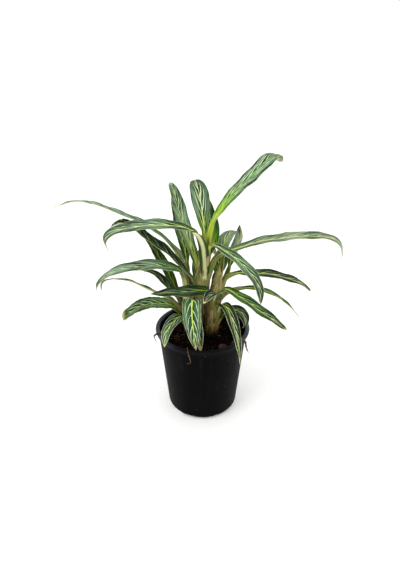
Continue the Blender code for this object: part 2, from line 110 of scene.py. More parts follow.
def meshPiece(name, points, faces, material, values=None, sharp=40, body="root"):
    # A mesh object that rides on the body, with named values on its points for the material to read
    mesh = newMesh(name, points, faces)
    for key, column in (values or {}).items():
        mesh.attributes.new(key, "FLOAT", "POINT").data.foreach_set("value", np.asarray(column, np.float32).ravel())
    mesh.shade_smooth()
    mesh.set_sharp_from_angle(angle=math.radians(sharp))
    mesh.materials.append(material)
    mesh.validate()
    piece = placed(name, mesh)
    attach(piece, body)
    return piece


def sheetFaces(rows, columns, first=0, closed=False, turned=False):
    # Quads between rows of points that follow one another
    i, j = np.meshgrid(np.arange(rows - 1), np.arange(columns if closed else columns - 1), indexing="ij")
    k = (j + 1) % columns
    quads = np.stack([i * columns + j, i * columns + k, (i + 1) * columns + k, (i + 1) * columns + j], -1)
    quads = quads.reshape(-1, 4) + first
    return quads[:, ::-1] if turned else quads


# Small helpers for materials

bench = {}  # the material being made: its node tree and its shader


def startMaterial(name, roughness, specular):
    made = bpy.data.materials.new(name)
    made.use_nodes = True
    bench["tree"] = made.node_tree
    bench["shader"] = made.node_tree.nodes["Principled BSDF"]
    put(bench["shader"].inputs["Roughness"], roughness)
    put(bench["shader"].inputs["Specular IOR Level"], specular)
    return made


def put(socket, value):
    # A colour is three numbers from 0 to 255, turned here into the linear ones that the shader wants
    if isinstance(value, bpy.types.NodeSocket):
        bench["tree"].links.new(value, socket)
    elif isinstance(value, tuple):
        linear = [((c / 255 + 0.055) / 1.055) ** 2.4 if c > 10 else c / 255 / 12.92 for c in value]
        socket.default_value = (*linear, 1)
    else:
        socket.default_value = value


def addNode(kind, inputs=(), **settings):
    node = bench["tree"].nodes.new("ShaderNode" + kind)
    for key, value in settings.items():
        setattr(node, key, value)
    for key, value in inputs:
        put(node.inputs[key], value)
    return node


def calc(operation, *values):
    return addNode("Math", enumerate(values), operation=operation).outputs[0]


def times(a, b):
    return calc("MULTIPLY", a, b)


def plus(a, b):
    return calc("ADD", a, b)


def minus(a, b):
    return calc("SUBTRACT", a, b)


def fade(value, low, high, start=0, end=1):
    # Smooth step of value from start at low to end at high
    given = zip(("Value", "From Min", "From Max", "To Min", "To Max"), (value, low, high, start, end))
    return addNode("MapRange", given, interpolation_type="SMOOTHSTEP").outputs[0]


def blend(part, a, b):
    return addNode("Mix", ((0, part), (6, a), (7, b)), data_type="RGBA").outputs[2]


def scaled(colour, part):
    return tuple(min(255, part * c) for c in colour)


def pointValue(name):
    return addNode("Attribute", attribute_name=name).outputs["Fac"]


def spot(x, y, z):
    return addNode("CombineXYZ", enumerate((x, y, z))).outputs[0]


def grain(where, scale, detail=2, roughness=0.5):
    given = zip(("Vector", "Scale", "Detail", "Roughness"), (where, scale, detail, roughness))
    return addNode("TexNoise", given).outputs["Fac"]


def cracks(where):
    # How far it is to the nearest of some wandering cracks
    return calc("ABSOLUTE", minus(calc("PINGPONG", times(grain(where, 1, 2, 0.5), 3), 0.5), 0.25))


def inPlace():
    # Where a point is on the object, in metres, and its three parts
    where = addNode("TexCoord").outputs["Object"]
    return where, addNode("SeparateXYZ", [(0, where)]).outputs


def finishMaterial(colour, roughness, height, distance, strength):
    # Colour, roughness, and bumps of this height in metres
    put(bench["shader"].inputs["Base Color"], colour)
    put(bench["shader"].inputs["Roughness"], roughness)
    bump = addNode("Bump", [("Strength", strength), ("Distance", distance), ("Height", height)])
    put(bench["shader"].inputs["Normal"], bump.outputs[0])


# Shoots: pale false stems of rolled leaf bases. foot is where the axis leaves the mix, top its upper end

shootSet = dict(
    soilTop=101, buried=30, levelStep=0.9, sides=72, point=26,
    crownShrink=0.92, crownPower=1.7,  # how the last leaf narrows to its point
    sheath=15, step=0.7, tilt=0.34, turn=2.4, seam=0.55, dryLip=0.35,  # the sheaths that wrap the stem
    ridge=0.14, ridges=17, fineRidge=0.12, fineRidges=31,
    cream=(216, 204, 148), tan=(168, 144, 94), olive=(138, 136, 80), brown=(72, 50, 28),
    # low is painted shade on the lower stem; the darkest colour near the mix is partly damp staining and partly
    # painted shade
    low=(80, 64, 34), dampAndShade=(12, 9, 7), high=(152, 164, 78),
    stems=dict(
        centre=dict(foot=(-4, 15), top=(3, 9, 236), radii=(8, 5.2)),
        left=dict(foot=(-16, 5), top=(-18, 0, 176), radii=(7.2, 6)),
        right=dict(foot=(10.5, 4), top=(18, -5, 180), radii=(9.6, 5.6)),
        back=dict(foot=(9, 24), top=(21, 14, 194), radii=(7, 5)),
        front=dict(foot=(-5, -6), top=(-8, -14, 158), radii=(6, 5)),
        rear=dict(foot=(-15, 26), top=(-14, 28, 160), radii=(6, 5))))


def upStem(shoot, height):
    # 0 where the stem leaves the mix, 1 at its top
    low, high = shootSet["soilTop"], shootSet["stems"][shoot]["top"][2]
    return (np.asarray(height, float) - low) / (high - low)


def shootAxis(shoot, height):
    stem, part = shootSet["stems"][shoot], upStem(shoot, height)
    x = mixed(stem["foot"][0], stem["top"][0], part)
    y = mixed(stem["foot"][1], stem["top"][1], part)
    return np.stack([x, y, np.asarray(height, float)], -1)


def shootRadius(shoot, height):
    low, high = shootSet["stems"][shoot]["radii"]
    part = upStem(shoot, height)
    return mixed(low, high, np.clip(part, 0, 1)) - 0.45 * low * np.clip(-part * 3, 0, 1) ** 2


def shootMaterial():
    made = startMaterial("paleSheath", 0.55, 0.25)
    height, turn, rim, tone = [pointValue(key) for key in ("height", "turn", "rim", "tone")]
    lines = grain(spot(times(turn, 5), times(height, 0.03), tone), 1.6, 3, 0.6)
    blotch = grain(spot(turn, times(height, 0.08), tone), 0.9, 3, 0.55)
    colour = blend(fade(lines, 0.36, 0.66), shootSet["tan"], shootSet["cream"])
    colour = blend(fade(blotch, 0.46, 0.72, 0, 0.75), colour, shootSet["olive"])
    high = times(fade(height, 150, 205, 0.1, 0.9), fade(lines, 0.72, 0.48))
    colour = blend(high, colour, shootSet["high"])
    # Painted shade: the stem darker towards its foot
    low = fade(plus(height, times(blotch, 30)), 118, 176, 0.8, 0)
    colour = blend(low, colour, shootSet["low"])
    dry = times(fade(rim, 0.8, 0.99), fade(blotch, 0.3, 0.62))
    colour = blend(dry, colour, shootSet["brown"])
    crack = cracks(spot(times(turn, 1.5), times(height, 0.012), tone))
    colour = blend(fade(crack, 0, 0.11, 0.8, 0), colour, shootSet["brown"])
    colour = blend(fade(rim, 0, 0.07, 0.55, 0), colour, shootSet["brown"])
    # Near the mix: partly damp staining, partly painted shade
    colour = blend(fade(plus(height, times(lines, 9)), 108, 124, 0.94, 0), colour, shootSet["dampAndShade"])
    finishMaterial(colour, fade(blotch, 0.3, 0.7, 0.45, 0.68), lines, 0.0004, 0.7)
    return made


def makeShoots():
    finish = shootMaterial()
    sides = shootSet["sides"]
    turn = around(sides)[None, :]
    for number, (name, stem) in enumerate(shootSet["stems"].items()):
        low, top = shootSet["soilTop"] - shootSet["buried"], stem["top"][2]
        levels = np.linspace(low, top + 0.6, round((top - low) / shootSet["levelStep"]))[:, None]
        count = upStem(name, levels) * round((top - shootSet["soilTop"]) / shootSet["sheath"])
        count = count + shootSet["tilt"] * np.cos(turn - shootSet["turn"] * count - number)
        sheath = np.floor(count)
        rim = count - sheath
        seam = (turn - shootSet["turn"] * sheath - 1.7 * number) / (2 * math.pi)
        seam = seam - np.floor(seam)
        radius = shootRadius(name, levels) + shootSet["step"] * (rim - 0.5) + shootSet["seam"] * (0.5 - seam)
        radius = radius + shootSet["dryLip"] * ease(rim, 0.82, 1)  # the dry upper edge stands off a little
        waves = shootSet["ridges"] * turn + 2 * sheath + 0.6 * np.sin(levels / 9)
        radius = radius + shootSet["ridge"] * np.sin(waves)
        radius = radius + shootSet["fineRidge"] * np.sin(shootSet["fineRidges"] * turn + levels / 13)
        crown = np.clip((levels - top + shootSet["point"]) / shootSet["point"], 0, 1)
        radius = radius * (1 - shootSet["crownShrink"] * crown ** shootSet["crownPower"])
        centre = shootAxis(name, levels[:, 0])[:, None, :]
        points = np.stack([centre[..., 0] + radius * np.cos(turn), centre[..., 1] + radius * np.sin(turn),
                           np.broadcast_to(levels, radius.shape)], -1)
        values = dict(height=points[..., 2], turn=np.broadcast_to(turn, radius.shape),
                      rim=rim, tone=sheath + 3 * number)
        rows = len(levels)
        faces = sheetFaces(rows, sides, closed=True).tolist()
        faces += [list(range(sides))[::-1], list(range((rows - 1) * sides, rows * sides))]
        piece = meshPiece(name + "Stem", points.reshape(-1, 3), faces, finish, values)
        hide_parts("shoot_" + name)
    print("shoots made")


# Leaves. azimuth is the way the leaf leans, in degrees from +X towards +Y; path is the midrib's reach and height
# (and swing to the left); width is the blade's, stalk the bare stalk's length, fold the rise of its two halves in
# degrees, roll how far the blade is turned about its midrib, rise and point how fast it widens and narrows again.
# The rest of each entry is its looks, over the usual looks below: silver and fill are how much of the pale wash
# there is and how even it is, darkEnd and silverEnd what happens to it towards the tip, darkEnd being partly the
# leaf's own darker tip and partly painted shade, veins and veinEnd how plain the side veins are and how far out they
# reach, sweep and spacing how they run, yellow the midrib, cream the margin, lime the foot of the blade, tip the
# millimetres of dry tip, shade the darker half.

leafSet = dict(
    step=1.25, columns=36,  # how fine the mesh is
    stalkHalf=2.3, tipHalf=0.9, channelTurn=1.25, footTurn=2.2, sheathShare=0.9, standOff=0.35, footThin=1.1,
    bladeStart=0.3, opens=(0.12, 0.16),  # shares of the blade and the stalk over which the channel opens out
    wave=0.55, waveLength=30, ruffle=0.025, arch=0.045, quilt=0.28, groove=0.4, grooveHalf=0.9,
    edge=0.42, rib=1.5, ribHalf=1.25, veinStop=0.82, veinTurn=0.86)

tones = dict(
    teal=dict(dark=(22, 50, 32), light=(58, 98, 64), base=(50, 116, 14)),
    dusk=dict(dark=(22, 50, 32), light=(58, 98, 64), base=(34, 84, 40)),
    green=dict(dark=(18, 46, 10), light=(50, 98, 28), base=(52, 116, 12)),
    # black is partly the leaves' own dark colour and partly painted shade, given to leaves that lie in shade
    black=dict(dark=(8, 22, 10), light=(26, 50, 26), base=(30, 62, 12), silver=0.15),
    sage=dict(dark=(38, 70, 44), light=(70, 108, 68), base=(56, 104, 30)),
    olive=dict(dark=(34, 58, 8), light=(76, 102, 28), base=(70, 92, 18)))

usualLooks = dict(
    width=16, stalk=24, fold=8, rise=0.55, point=0.8, roll=0, silver=0.4, silverColour=(116, 150, 108),
    mint=(210, 228, 186), veins=0.85, veinWidth=0.72, halo=1.4, spacing=14, sweep=15, band=0.25, yellow=0.9,
    yellowWidth=1.1, yellowColour=(214, 230, 108), cream=0.24, creamColour=(196, 204, 160), tip=1.5,
    tipColour=(214, 206, 156), lime=0.2, limeColour=(170, 196, 62), stalkColour=(138, 148, 72),
    footColour=(184, 166, 112), under=(92, 108, 54), underRib=(204, 208, 150), underRibWidth=1.5, shade=0,
    ripple=0.25, rippleLength=9, dry=0, dryColour=(128, 98, 66), blunt=0, crack=(66, 48, 26),
    dryEdge=(112, 84, 50), underVein=(196, 204, 156), channel=2.7, thick=2.4, slant=0.28, darkEnd=0.3, silverEnd=0.25,
    veinEnd=0.32, fill=0)

leaves = dict(centre=[
    dict(azimuth=38, tone="teal", width=26, stalk=42, fold=-4, point=0.2,
        path=[(4.6, 206, -2), (4.6, 226, -3), (7, 240, -3), (14, 251, -1), (31, 268), (48, 281), (69, 293), (87, 304),
              (102, 313), (110, 316), (116, 313), (119, 306)],
        silver=0.75, silverColour=(132, 162, 120), veins=1, veinWidth=0.95, spacing=17, sweep=34,
        yellowWidth=1.6, yellowColour=(136, 190, 72), tip=7, tipColour=(214, 214, 180), lime=0.4,
        limeColour=(206, 228, 76), stalkColour=(186, 206, 66), channel=3.2, darkEnd=0, silverEnd=1, veinEnd=0.5),
    dict(azimuth=100, tone="teal", width=22.5, stalk=36, rise=0.85, point=0.45,
        path=[(4.6, 196), (5, 220, -1), (8, 238, -2), (12, 256, -1), (20, 270), (30, 282, 1), (46, 290, 3)],
        silver=0.9, silverColour=(136, 164, 126), veins=1, spacing=18, sweep=30, yellowColour=(222, 236, 150),
        lime=0.6, stalkColour=(178, 200, 76), shade=0.4, darkEnd=0.1, silverEnd=0.8, veinEnd=0.4, fill=0.5),
    dict(azimuth=80, tone="green", width=20, point=0.7,
        path=[(4.6, 182, -1), (10, 206, -6), (20, 232, -8), (30, 256), (38, 272, 7), (43, 280, 10)],
        silver=0.15, veins=0.5, spacing=18, sweep=24, yellow=0.5, lime=0.7),
    dict(azimuth=194, tone="teal", width=22, stalk=26, point=0.6, roll=-13,
        path=[(4.6, 210), (4.6, 228), (9, 240), (17, 244), (26, 248), (41, 251), (57, 253), (76, 253), (91, 252),
              (107, 248), (115, 240), (113, 227)],
        silver=0.8, silverColour=(134, 160, 124), veins=0.9, halo=1.8, spacing=18, sweep=30,
        yellowColour=(220, 232, 146), tip=6, tipColour=(206, 204, 170), stalkColour=(172, 194, 84), fill=0.4),
    dict(azimuth=322, tone="teal", width=19, fold=6, point=0.5,
        path=[(4.6, 202), (6, 218), (11, 226), (16, 227), (32, 223), (52, 215), (69, 203), (77, 194), (81, 184),
              (83, 170)],
        silver=0.95, sweep=24, yellowColour=(206, 222, 150), cream=0.5, stalkColour=(190, 202, 100), darkEnd=1,
        silverEnd=0, fill=0.4),
    dict(azimuth=270, tone="green", width=15, stalk=6, fold=34, point=0.7,
        path=[(4.6, 174, 2), (9, 189, 3), (12.6, 210, 2), (14, 226, 0), (14, 238, -5), (13, 243, -12)],
        silver=0.2, stalkColour=(150, 164, 86), footColour=(170, 164, 104), under=(40, 66, 12),
        underRib=(216, 216, 160), underRibWidth=3.7),
    dict(azimuth=139, tone="green", width=21, stalk=4, rise=0.9, point=0.45,
        path=[(4.6, 168), (8, 188), (15, 207), (25, 228), (31, 243), (37, 257), (41, 269), (46, 280), (52, 289)],
        silver=0.9, silverColour=(150, 184, 146), veins=1, veinWidth=0.9, spacing=17, sweep=28,
        yellowColour=(222, 236, 140), lime=0.9, limeColour=(196, 222, 92), stalkColour=(170, 190, 76),
        footColour=(176, 184, 80), darkEnd=0, silverEnd=0.8, veinEnd=0.4, fill=0.5),
    dict(azimuth=182, tone="black", width=19, stalk=4, fold=14, rise=0.8, point=0.7, roll=-10,
        path=[(4.6, 160), (9, 174), (25, 194), (44, 215), (66, 232), (80, 246), (92, 251.5), (103, 249), (109, 243)],
        veins=0.3, yellow=0.25, cream=1, creamColour=(178, 196, 150), lime=0.5, limeColour=(142, 166, 78),
        stalkColour=(142, 164, 70), footColour=(190, 176, 116)),
    dict(azimuth=352, tone="sage", width=17, stalk=60, fold=10, point=0.55, roll=12,
        path=[(5, 148), (8, 173), (12, 196), (18, 208), (32, 216), (46, 221), (69, 230), (92, 235), (114, 239),
              (139, 240), (154, 237), (163, 227), (165, 213)],
        silver=0.8, silverColour=(164, 178, 148), veins=0.5, sweep=34, yellowWidth=1.7,
        yellowColour=(214, 208, 150), cream=0.3, tip=14, tipColour=(204, 204, 176), stalkColour=(140, 148, 74),
        channel=3.8, thick=4, darkEnd=0, silverEnd=0.9, fill=0.35),
], left=[
    dict(azimuth=158, tone="olive", width=15, stalk=20, fold=10, point=0.7, roll=-18,
        path=[(4.6, 140, -1.6), (11, 152, -1.6), (21, 170, -1), (33, 194), (48, 217), (56, 228), (60, 233)],
        silver=0.05, veins=0.25, yellow=0.4, cream=0.2, stalkColour=(132, 104, 60), footColour=(160, 128, 82),
        channel=3.4),
    # Its stalk and foot colours are made extra pale: painted light, standing for light that reaches them under the
    # leaves above
    dict(azimuth=198, tone="dusk", width=21, stalk=32, point=1, roll=-12,
        path=[(4.6, 150), (4.6, 176), (8, 190), (14, 197), (26, 202), (43, 206), (61, 207), (82, 206), (93, 203),
              (102, 198), (109, 191), (112, 180)],
        silver=0.85, silverColour=(138, 162, 134), veins=0.8, sweep=30, yellow=0.3, yellowColour=(186, 204, 150),
        cream=0.3, tip=9, tipColour=(196, 200, 182), lime=0.1, stalkColour=(200, 200, 136),
        footColour=(250, 244, 190), channel=3.8, darkEnd=0.1, silverEnd=0.8, fill=0.35),
    dict(azimuth=198, tone="black", stalk=22, point=0.9, roll=-25,
        path=[(4.6, 135), (12, 154), (23, 171), (38, 191), (47, 198), (57, 201)],
        silver=0.05, veins=0.3, yellow=0.3),
    dict(azimuth=206, tone="olive", width=8, stalk=44, fold=16, point=1.9,
        path=[(4.6, 122), (10, 137), (20, 155), (26, 161), (37, 168), (55, 181), (73, 194), (91, 201), (98, 202),
              (104, 201), (108, 197), (109, 190)],
        silver=0, veins=0.1, yellow=0.3, cream=0.1, stalkColour=(128, 124, 76), footColour=(170, 138, 92), dry=0.6,
        dryColour=(118, 108, 84), channel=3.2),
    dict(azimuth=182, tone="green", width=21, stalk=12, point=0.25, roll=-18,
        path=[(4.6, 111), (8, 123), (13, 134), (21, 143), (30, 146), (46, 147), (57, 145), (67, 141), (77, 133),
              (86, 126)],
        silver=0.55, veins=0.7, spacing=10, yellow=0.6, cream=0.7, tip=4, tipColour=(196, 176, 118),
        footColour=(168, 136, 90), ripple=0.7, rippleLength=5.5, blunt=1, channel=3.2, veinEnd=0.5),
    dict(azimuth=239, tone="teal", width=17, stalk=16,
        path=[(4.6, 111, 1.2), (8, 121, 1), (13, 131), (20, 138), (32, 139), (44, 137), (52, 131), (56, 123),
              (58, 114)],
        silver=0.2, spacing=12, sweep=14, cream=0.5, tip=3, veinEnd=0.55),
# The right shoot's leaves have darker, browner sheath feet: partly their own colour, partly painted shade for the
# shadowed gap low between the shoots
], right=[
    dict(azimuth=202, tone="black", width=19, stalk=8, fold=6, rise=0.35, roll=-20,
        path=[(5, 158), (5.6, 165), (10, 170), (20, 172), (40, 174), (58, 177), (71, 178), (84, 180)],
        silver=0.1, veins=0.35, spacing=20, sweep=34, band=0.1, yellowColour=(132, 170, 60), cream=0, lime=0),
    dict(azimuth=230, tone="black", width=18, fold=14, point=0.9,
        path=[(5, 138), (7, 152, 4), (8.5, 164, 9), (13, 172, 12.5), (24, 174, 13), (35, 168, 12)],
        veins=0.5, spacing=9, yellow=0.3, cream=0.3, tip=3, lime=0, footColour=(146, 128, 72),
        under=(78, 92, 52)),
    dict(azimuth=328, tone="green", width=19, stalk=20, point=0.6,
        path=[(5.6, 150), (6.5, 164), (11, 172), (18, 174), (33, 169), (52, 162), (62, 157), (76, 152), (87, 147),
              (96, 143)],
        silver=0.25, veins=0.6, spacing=15, sweep=26, band=0, cream=0.1, footColour=(150, 132, 74), channel=3.2,
        darkEnd=1, silverEnd=0),
    dict(azimuth=301, tone="black", width=15, stalk=14, point=1.1,
        path=[(5, 128), (9, 140), (14, 151), (22, 157), (35, 154), (47, 139), (55, 124), (60, 106), (62, 94)],
        silver=0.1, spacing=16, sweep=26, band=0.1, yellow=0.6, cream=0.4, tip=9, footColour=(142, 124, 70)),
    dict(azimuth=347, tone="black", width=14, stalk=14, roll=55,
        path=[(5, 116), (12, 130), (24, 139), (33, 141), (40, 136), (43, 129), (43, 121), (39, 116)],
        silver=0.35, veins=0.4, spacing=9, yellow=0.3, cream=0.2, tip=3, lime=0, footColour=(150, 130, 72),
        under=(70, 82, 52)),
    dict(azimuth=8, tone="olive", width=9, stalk=44, fold=18, point=1.3, roll=20,
        path=[(5.6, 140), (8, 152), (15, 162), (26, 167), (39, 168), (52, 166), (68, 160), (86, 149), (101, 135),
              (114, 119)],
        silver=0.3, veins=0.3, spacing=8, yellow=0.4, stalkColour=(136, 146, 84)),
], back=[
    dict(azimuth=6, tone="black", stalk=40, point=0.6, roll=16,
        path=[(5, 144), (8, 159), (12, 170), (18, 177), (32, 180), (55, 178), (68, 177), (80, 174), (103, 166),
              (118, 158), (129, 148)],
        silver=0.35, veins=0.5, spacing=18, sweep=30, yellowWidth=1.6, yellowColour=(186, 214, 96), cream=0.15,
        stalkColour=(158, 164, 84), channel=3.2, thick=3.2),
    dict(azimuth=52, tone="sage", width=18, stalk=30, point=0.5,
        path=[(5, 172), (8, 184), (10, 197), (11, 210), (15, 221), (26, 227), (37, 228)],
        silver=1, silverColour=(168, 190, 152), veins=1, spacing=11, sweep=20, fill=0.5),
    dict(azimuth=36, tone="sage", stalk=54, fold=14, point=0.6,
        path=[(5, 132), (12, 147), (18, 162), (24, 176), (29, 189), (34, 201), (39, 212), (43, 223), (42, 236)],
        silver=1, silverColour=(222, 234, 212), stalkColour=(118, 136, 52), shade=-0.4, channel=3, fill=0.9),
    dict(azimuth=72, tone="green", width=20,
        path=[(4.6, 144), (18, 172), (36, 186), (56, 192), (74, 186), (86, 172)],
        silver=0.3),
], front=[
    dict(azimuth=268, tone="dusk", width=22, stalk=18, rise=0.45, point=0.85,
        path=[(4.6, 138, -1), (7, 152, -3), (9, 161, -4), (13, 167, -5), (20, 168, -5), (28, 163, -5), (34, 149, -4),
              (38, 131, -2), (39, 113)],
        silver=0.25, veins=1, sweep=12.5, band=0.35, yellow=1, yellowWidth=1.5, cream=0.35, tip=6, lime=0,
        limeColour=(196, 218, 150), veinEnd=0.62),
    dict(azimuth=277, tone="dusk", stalk=10, fold=12, point=1,
        path=[(4.6, 122, -3), (10, 138, -7), (17, 146, -8), (25, 141, -6), (31, 128, -3), (35, 104)],
        cream=0.8, tip=9, lime=0),
], rear=[
    dict(azimuth=132, tone="teal", stalk=56, fold=10, point=0.7,
        path=[(4.6, 132), (6, 155), (7, 182), (12, 206), (22, 228), (29, 250), (36, 270)]),
    dict(azimuth=186, tone="sage", width=14, stalk=90, fold=10, point=1,
        path=[(4.6, 124, 1.5), (6, 155, 1.5), (9, 190), (13, 206), (22, 217), (34, 229), (43, 236), (62, 250),
              (78, 257), (94, 265), (114, 273), (134, 276), (158, 270)],
        silver=0.9, silverColour=(158, 178, 150), veins=0.3, yellow=0.2, tip=8, stalkColour=(148, 154, 106),
        channel=3.6, thick=5, darkEnd=0, silverEnd=0.9, fill=0.5),
    dict(azimuth=90, tone="green", width=18, stalk=20,
        path=[(4.6, 118), (16, 140), (32, 150), (50, 146), (64, 132), (72, 114)]),
    dict(azimuth=66, tone="teal", width=19, stalk=22,
        path=[(4.6, 142), (12, 166), (26, 184), (46, 190), (66, 184), (82, 168)]),
])


def leafCourse(shoot, leaf):
    # The midrib from the bottom of its sheath to the tip, how far along it each point is, and the way to its left
    lean = math.radians(leaf["azimuth"])
    out = np.array([math.cos(lean), math.sin(lean), 0])
    left = np.array([-out[1], out[0], 0])
    start = shootAxis(shoot, leaf["path"][0][1]) * [1, 1, 0]
    knots = [start + out * reach + left * (swing[0] if swing else 0) + [0, 0, height]
             for reach, height, *swing in leaf["path"]]
    points, along = evenly(smoothLine(knots), leafSet["step"])
    axis = shootAxis(shoot, points[:, 2])
    short = shootRadius(shoot, points[:, 2]) + leafSet["standOff"] - (points - axis) @ out
    points = points + out * (np.maximum(short, 0) * (1 - ease(along, 4, 26)))[:, None]  # kept off the stem
    reach = 9 + 0.25 * leaf["stalk"]
    down = np.arange(-round(reach / leafSet["step"]), 0) * leafSet["step"]
    height = points[0, 2] + down
    radius = shootRadius(shoot, height) + leafSet["standOff"] - leafSet["footThin"] * ease(-down, 0.3 * reach, reach)
    foot = shootAxis(shoot, height) + out * radius[:, None] + left * ((points[0] - axis[0]) @ left)
    return np.vstack([foot, points]), np.concatenate([down, along]), left


def bladeHalf(leaf, along, length):
    plain = leafSet["stalkHalf"] + (leafSet["tipHalf"] - leafSet["stalkHalf"]) * along / length
    u = np.clip((along - leaf["stalk"]) / (length - leaf["stalk"]), 0, 1)
    rise, fall = leaf["rise"], leaf["point"]
    widest = rise / (rise + fall)
    shape = u**rise * (1 - u) ** fall / (widest**rise * (1 - widest) ** fall)
    taper = 1 - (1 - leaf["blunt"]) * 0.72 * ease(u, 0.88, 1)
    return ((plain * taper) ** 4 + (shape * leaf["width"] / 2) ** 4) ** 0.25


def leafFaces(rows, columns):
    # The upper skin, the lower one, and the strip that closes them all round
    total, last, end = rows * columns, columns - 1, (rows - 1) * columns
    i, j = np.arange(rows - 1) * columns, np.arange(last)
    return np.concatenate([
        sheetFaces(rows, columns, turned=True), sheetFaces(rows, columns, first=total),
        np.stack([i, i + columns, i + columns + total, i + total], -1),
        np.stack([i + last, i + last + total, i + last + columns + total, i + last + columns], -1),
        np.stack([j, j + total, j + 1 + total, j + 1], -1),
        np.stack([end + j, end + j + 1, end + j + 1 + total, end + j + total], -1)])


def makeLeaf(name, shoot, leaf, number):
    points, along, left = leafCourse(shoot, leaf)
    length, stalk = along[-1], leaf["stalk"]
    bladeLength = length - stalk
    ahead = unit(np.gradient(points, axis=0))
    side = unit(left - ahead * (ahead @ left)[:, None])
    up = np.cross(ahead, side)
    roll = np.radians(leaf["roll"] * ease(along, 0, stalk + leafSet["bladeStart"] * bladeLength))[:, None]
    side, up = side * np.cos(roll) + up * np.sin(roll), up * np.cos(roll) - side * np.sin(roll)

    # t runs across the leaf from one margin to the other, s along it from where it leaves the stem
    t, s = np.linspace(-1, 1, leafSet["columns"] + 1)[None, :], along[:, None]
    v, part = np.abs(t), (s - stalk) / bladeLength
    blade = np.clip((s - stalk) / (leafSet["bladeStart"] * bladeLength), 0, 1)
    opened = ease(s, stalk - leafSet["opens"][0] * stalk, stalk + leafSet["opens"][1] * bladeLength)
    sheath = 1 - ease(s, 0, max(leafSet["sheathShare"] * stalk, 8))

    # A channel round the stem at the foot, an open blade further out
    half = bladeHalf(leaf, np.maximum(along, 0), length)[:, None]
    half = half * (1 + blade * leafSet["ruffle"] * ripples(s + 40 * np.sign(t), number, (41, 23, 13)))
    stemRadius = float(shootRadius(shoot, points[0, 2])) + leafSet["standOff"]
    radius = mixed(leaf["channel"], stemRadius, sheath)
    turn = mixed(leafSet["channelTurn"], leafSet["footTurn"], sheath ** 1.5)
    turn = turn * (1 + 0.05 * sheath * ripples(s + 30 * np.sign(t), number + 50, (17, 9, 5)))
    bend = mixed(1 / radius, 0.5 / 60, opened)
    width = mixed(radius * turn, half, opened)
    angle = bend * width * t
    x, y = np.sin(angle) / bend, (1 - np.cos(angle)) / bend

    # Side veins leave the midrib by turns left and right, and bend towards the tip
    sweep, spacing = leaf["sweep"], leaf["spacing"]
    reach = np.minimum(v, leafSet["veinStop"])
    sideStart = np.where(t > 0, 0.46, 0) + 0.21 * number
    vein = (s - stalk + sweep * np.log(1 - reach / leafSet["veinTurn"])) / spacing + sideStart
    veinGap = spacing / np.sqrt(1 + (sweep / ((leafSet["veinTurn"] - reach) * np.maximum(half, 1))) ** 2)

    # The fold, the wave, the arch of each half, the midrib's groove, the swell between veins, the frilled margin
    fold = np.radians(leaf["fold"]) * blade
    wave = np.sin(2 * math.pi * s / leafSet["waveLength"] + leaf["azimuth"] + t)
    swell = (0.5 - 0.5 * np.cos(2 * math.pi * vein)) * ease(v, 0.05, 0.22) * (1 - ease(v, 0.66, 0.84))
    frill = ripples(s + 20 * np.sign(t), number + 9, [leaf["rippleLength"] * k for k in (1, 0.61, 2.1)])
    lift = np.abs(x) * np.sin(fold)
    lift = lift + leafSet["wave"] * blade * t * t * wave
    lift = lift + leafSet["arch"] * half * 4 * v * (1 - v) * blade
    groove = np.exp(-((x / leafSet["grooveHalf"]) ** 2))
    lift = lift - leafSet["groove"] * opened * (1 - 0.7 * np.clip(part, 0, 1)) * groove
    lift = lift + leafSet["quilt"] * (half / 10) * blade * swell
    lift = lift + leaf["ripple"] * blade * v**5 * frill * (1 - ease(part, 0.9, 1))
    x, y = x * np.cos(fold), y + lift + mixed(-0.9, 0.2, opened) * (1 - sheath) + 0.1 * sheath

    # Thickness: a stout stalk, a rib under the blade, thin margins
    crown = (1 - t * t) ** 1.4
    stalkWall = leafSet["edge"] + (mixed(leaf["thick"], 0.6, sheath) - leafSet["edge"]) * crown
    rib = leafSet["rib"] * (1 - 0.85 * np.clip(part, 0, 1)) * np.exp(-((x / leafSet["ribHalf"]) ** 2))
    wall = mixed(stalkWall, leafSet["edge"] + rib, opened) * (0.35 + 0.65 * (1 - ease(part, 0.94, 1)))
    tilt = angle * (1 - opened)
    side, up = side[:, None, :], up[:, None, :]
    top = points[:, None, :] + side * x[..., None] + up * y[..., None]
    below = top + side * (wall * np.sin(tilt))[..., None] - up * (wall * np.cos(tilt))[..., None]

    values = dict(along=s, aside=width * t, across=t, margin=(1 - v) * width, blade=part, vein=vein,
                  veinGap=veinGap, sheath=sheath)
    values = {key: np.tile(np.broadcast_to(grid, x.shape).ravel(), 2) for key, grid in values.items()}
    values["under"] = np.repeat([0, 1], x.size)
    finish = leafMaterial(name + "Finish", leaf, number, bladeLength)
    points = np.concatenate([top.reshape(-1, 3), below.reshape(-1, 3)])
    return meshPiece(name, points, leafFaces(*x.shape), finish, values)


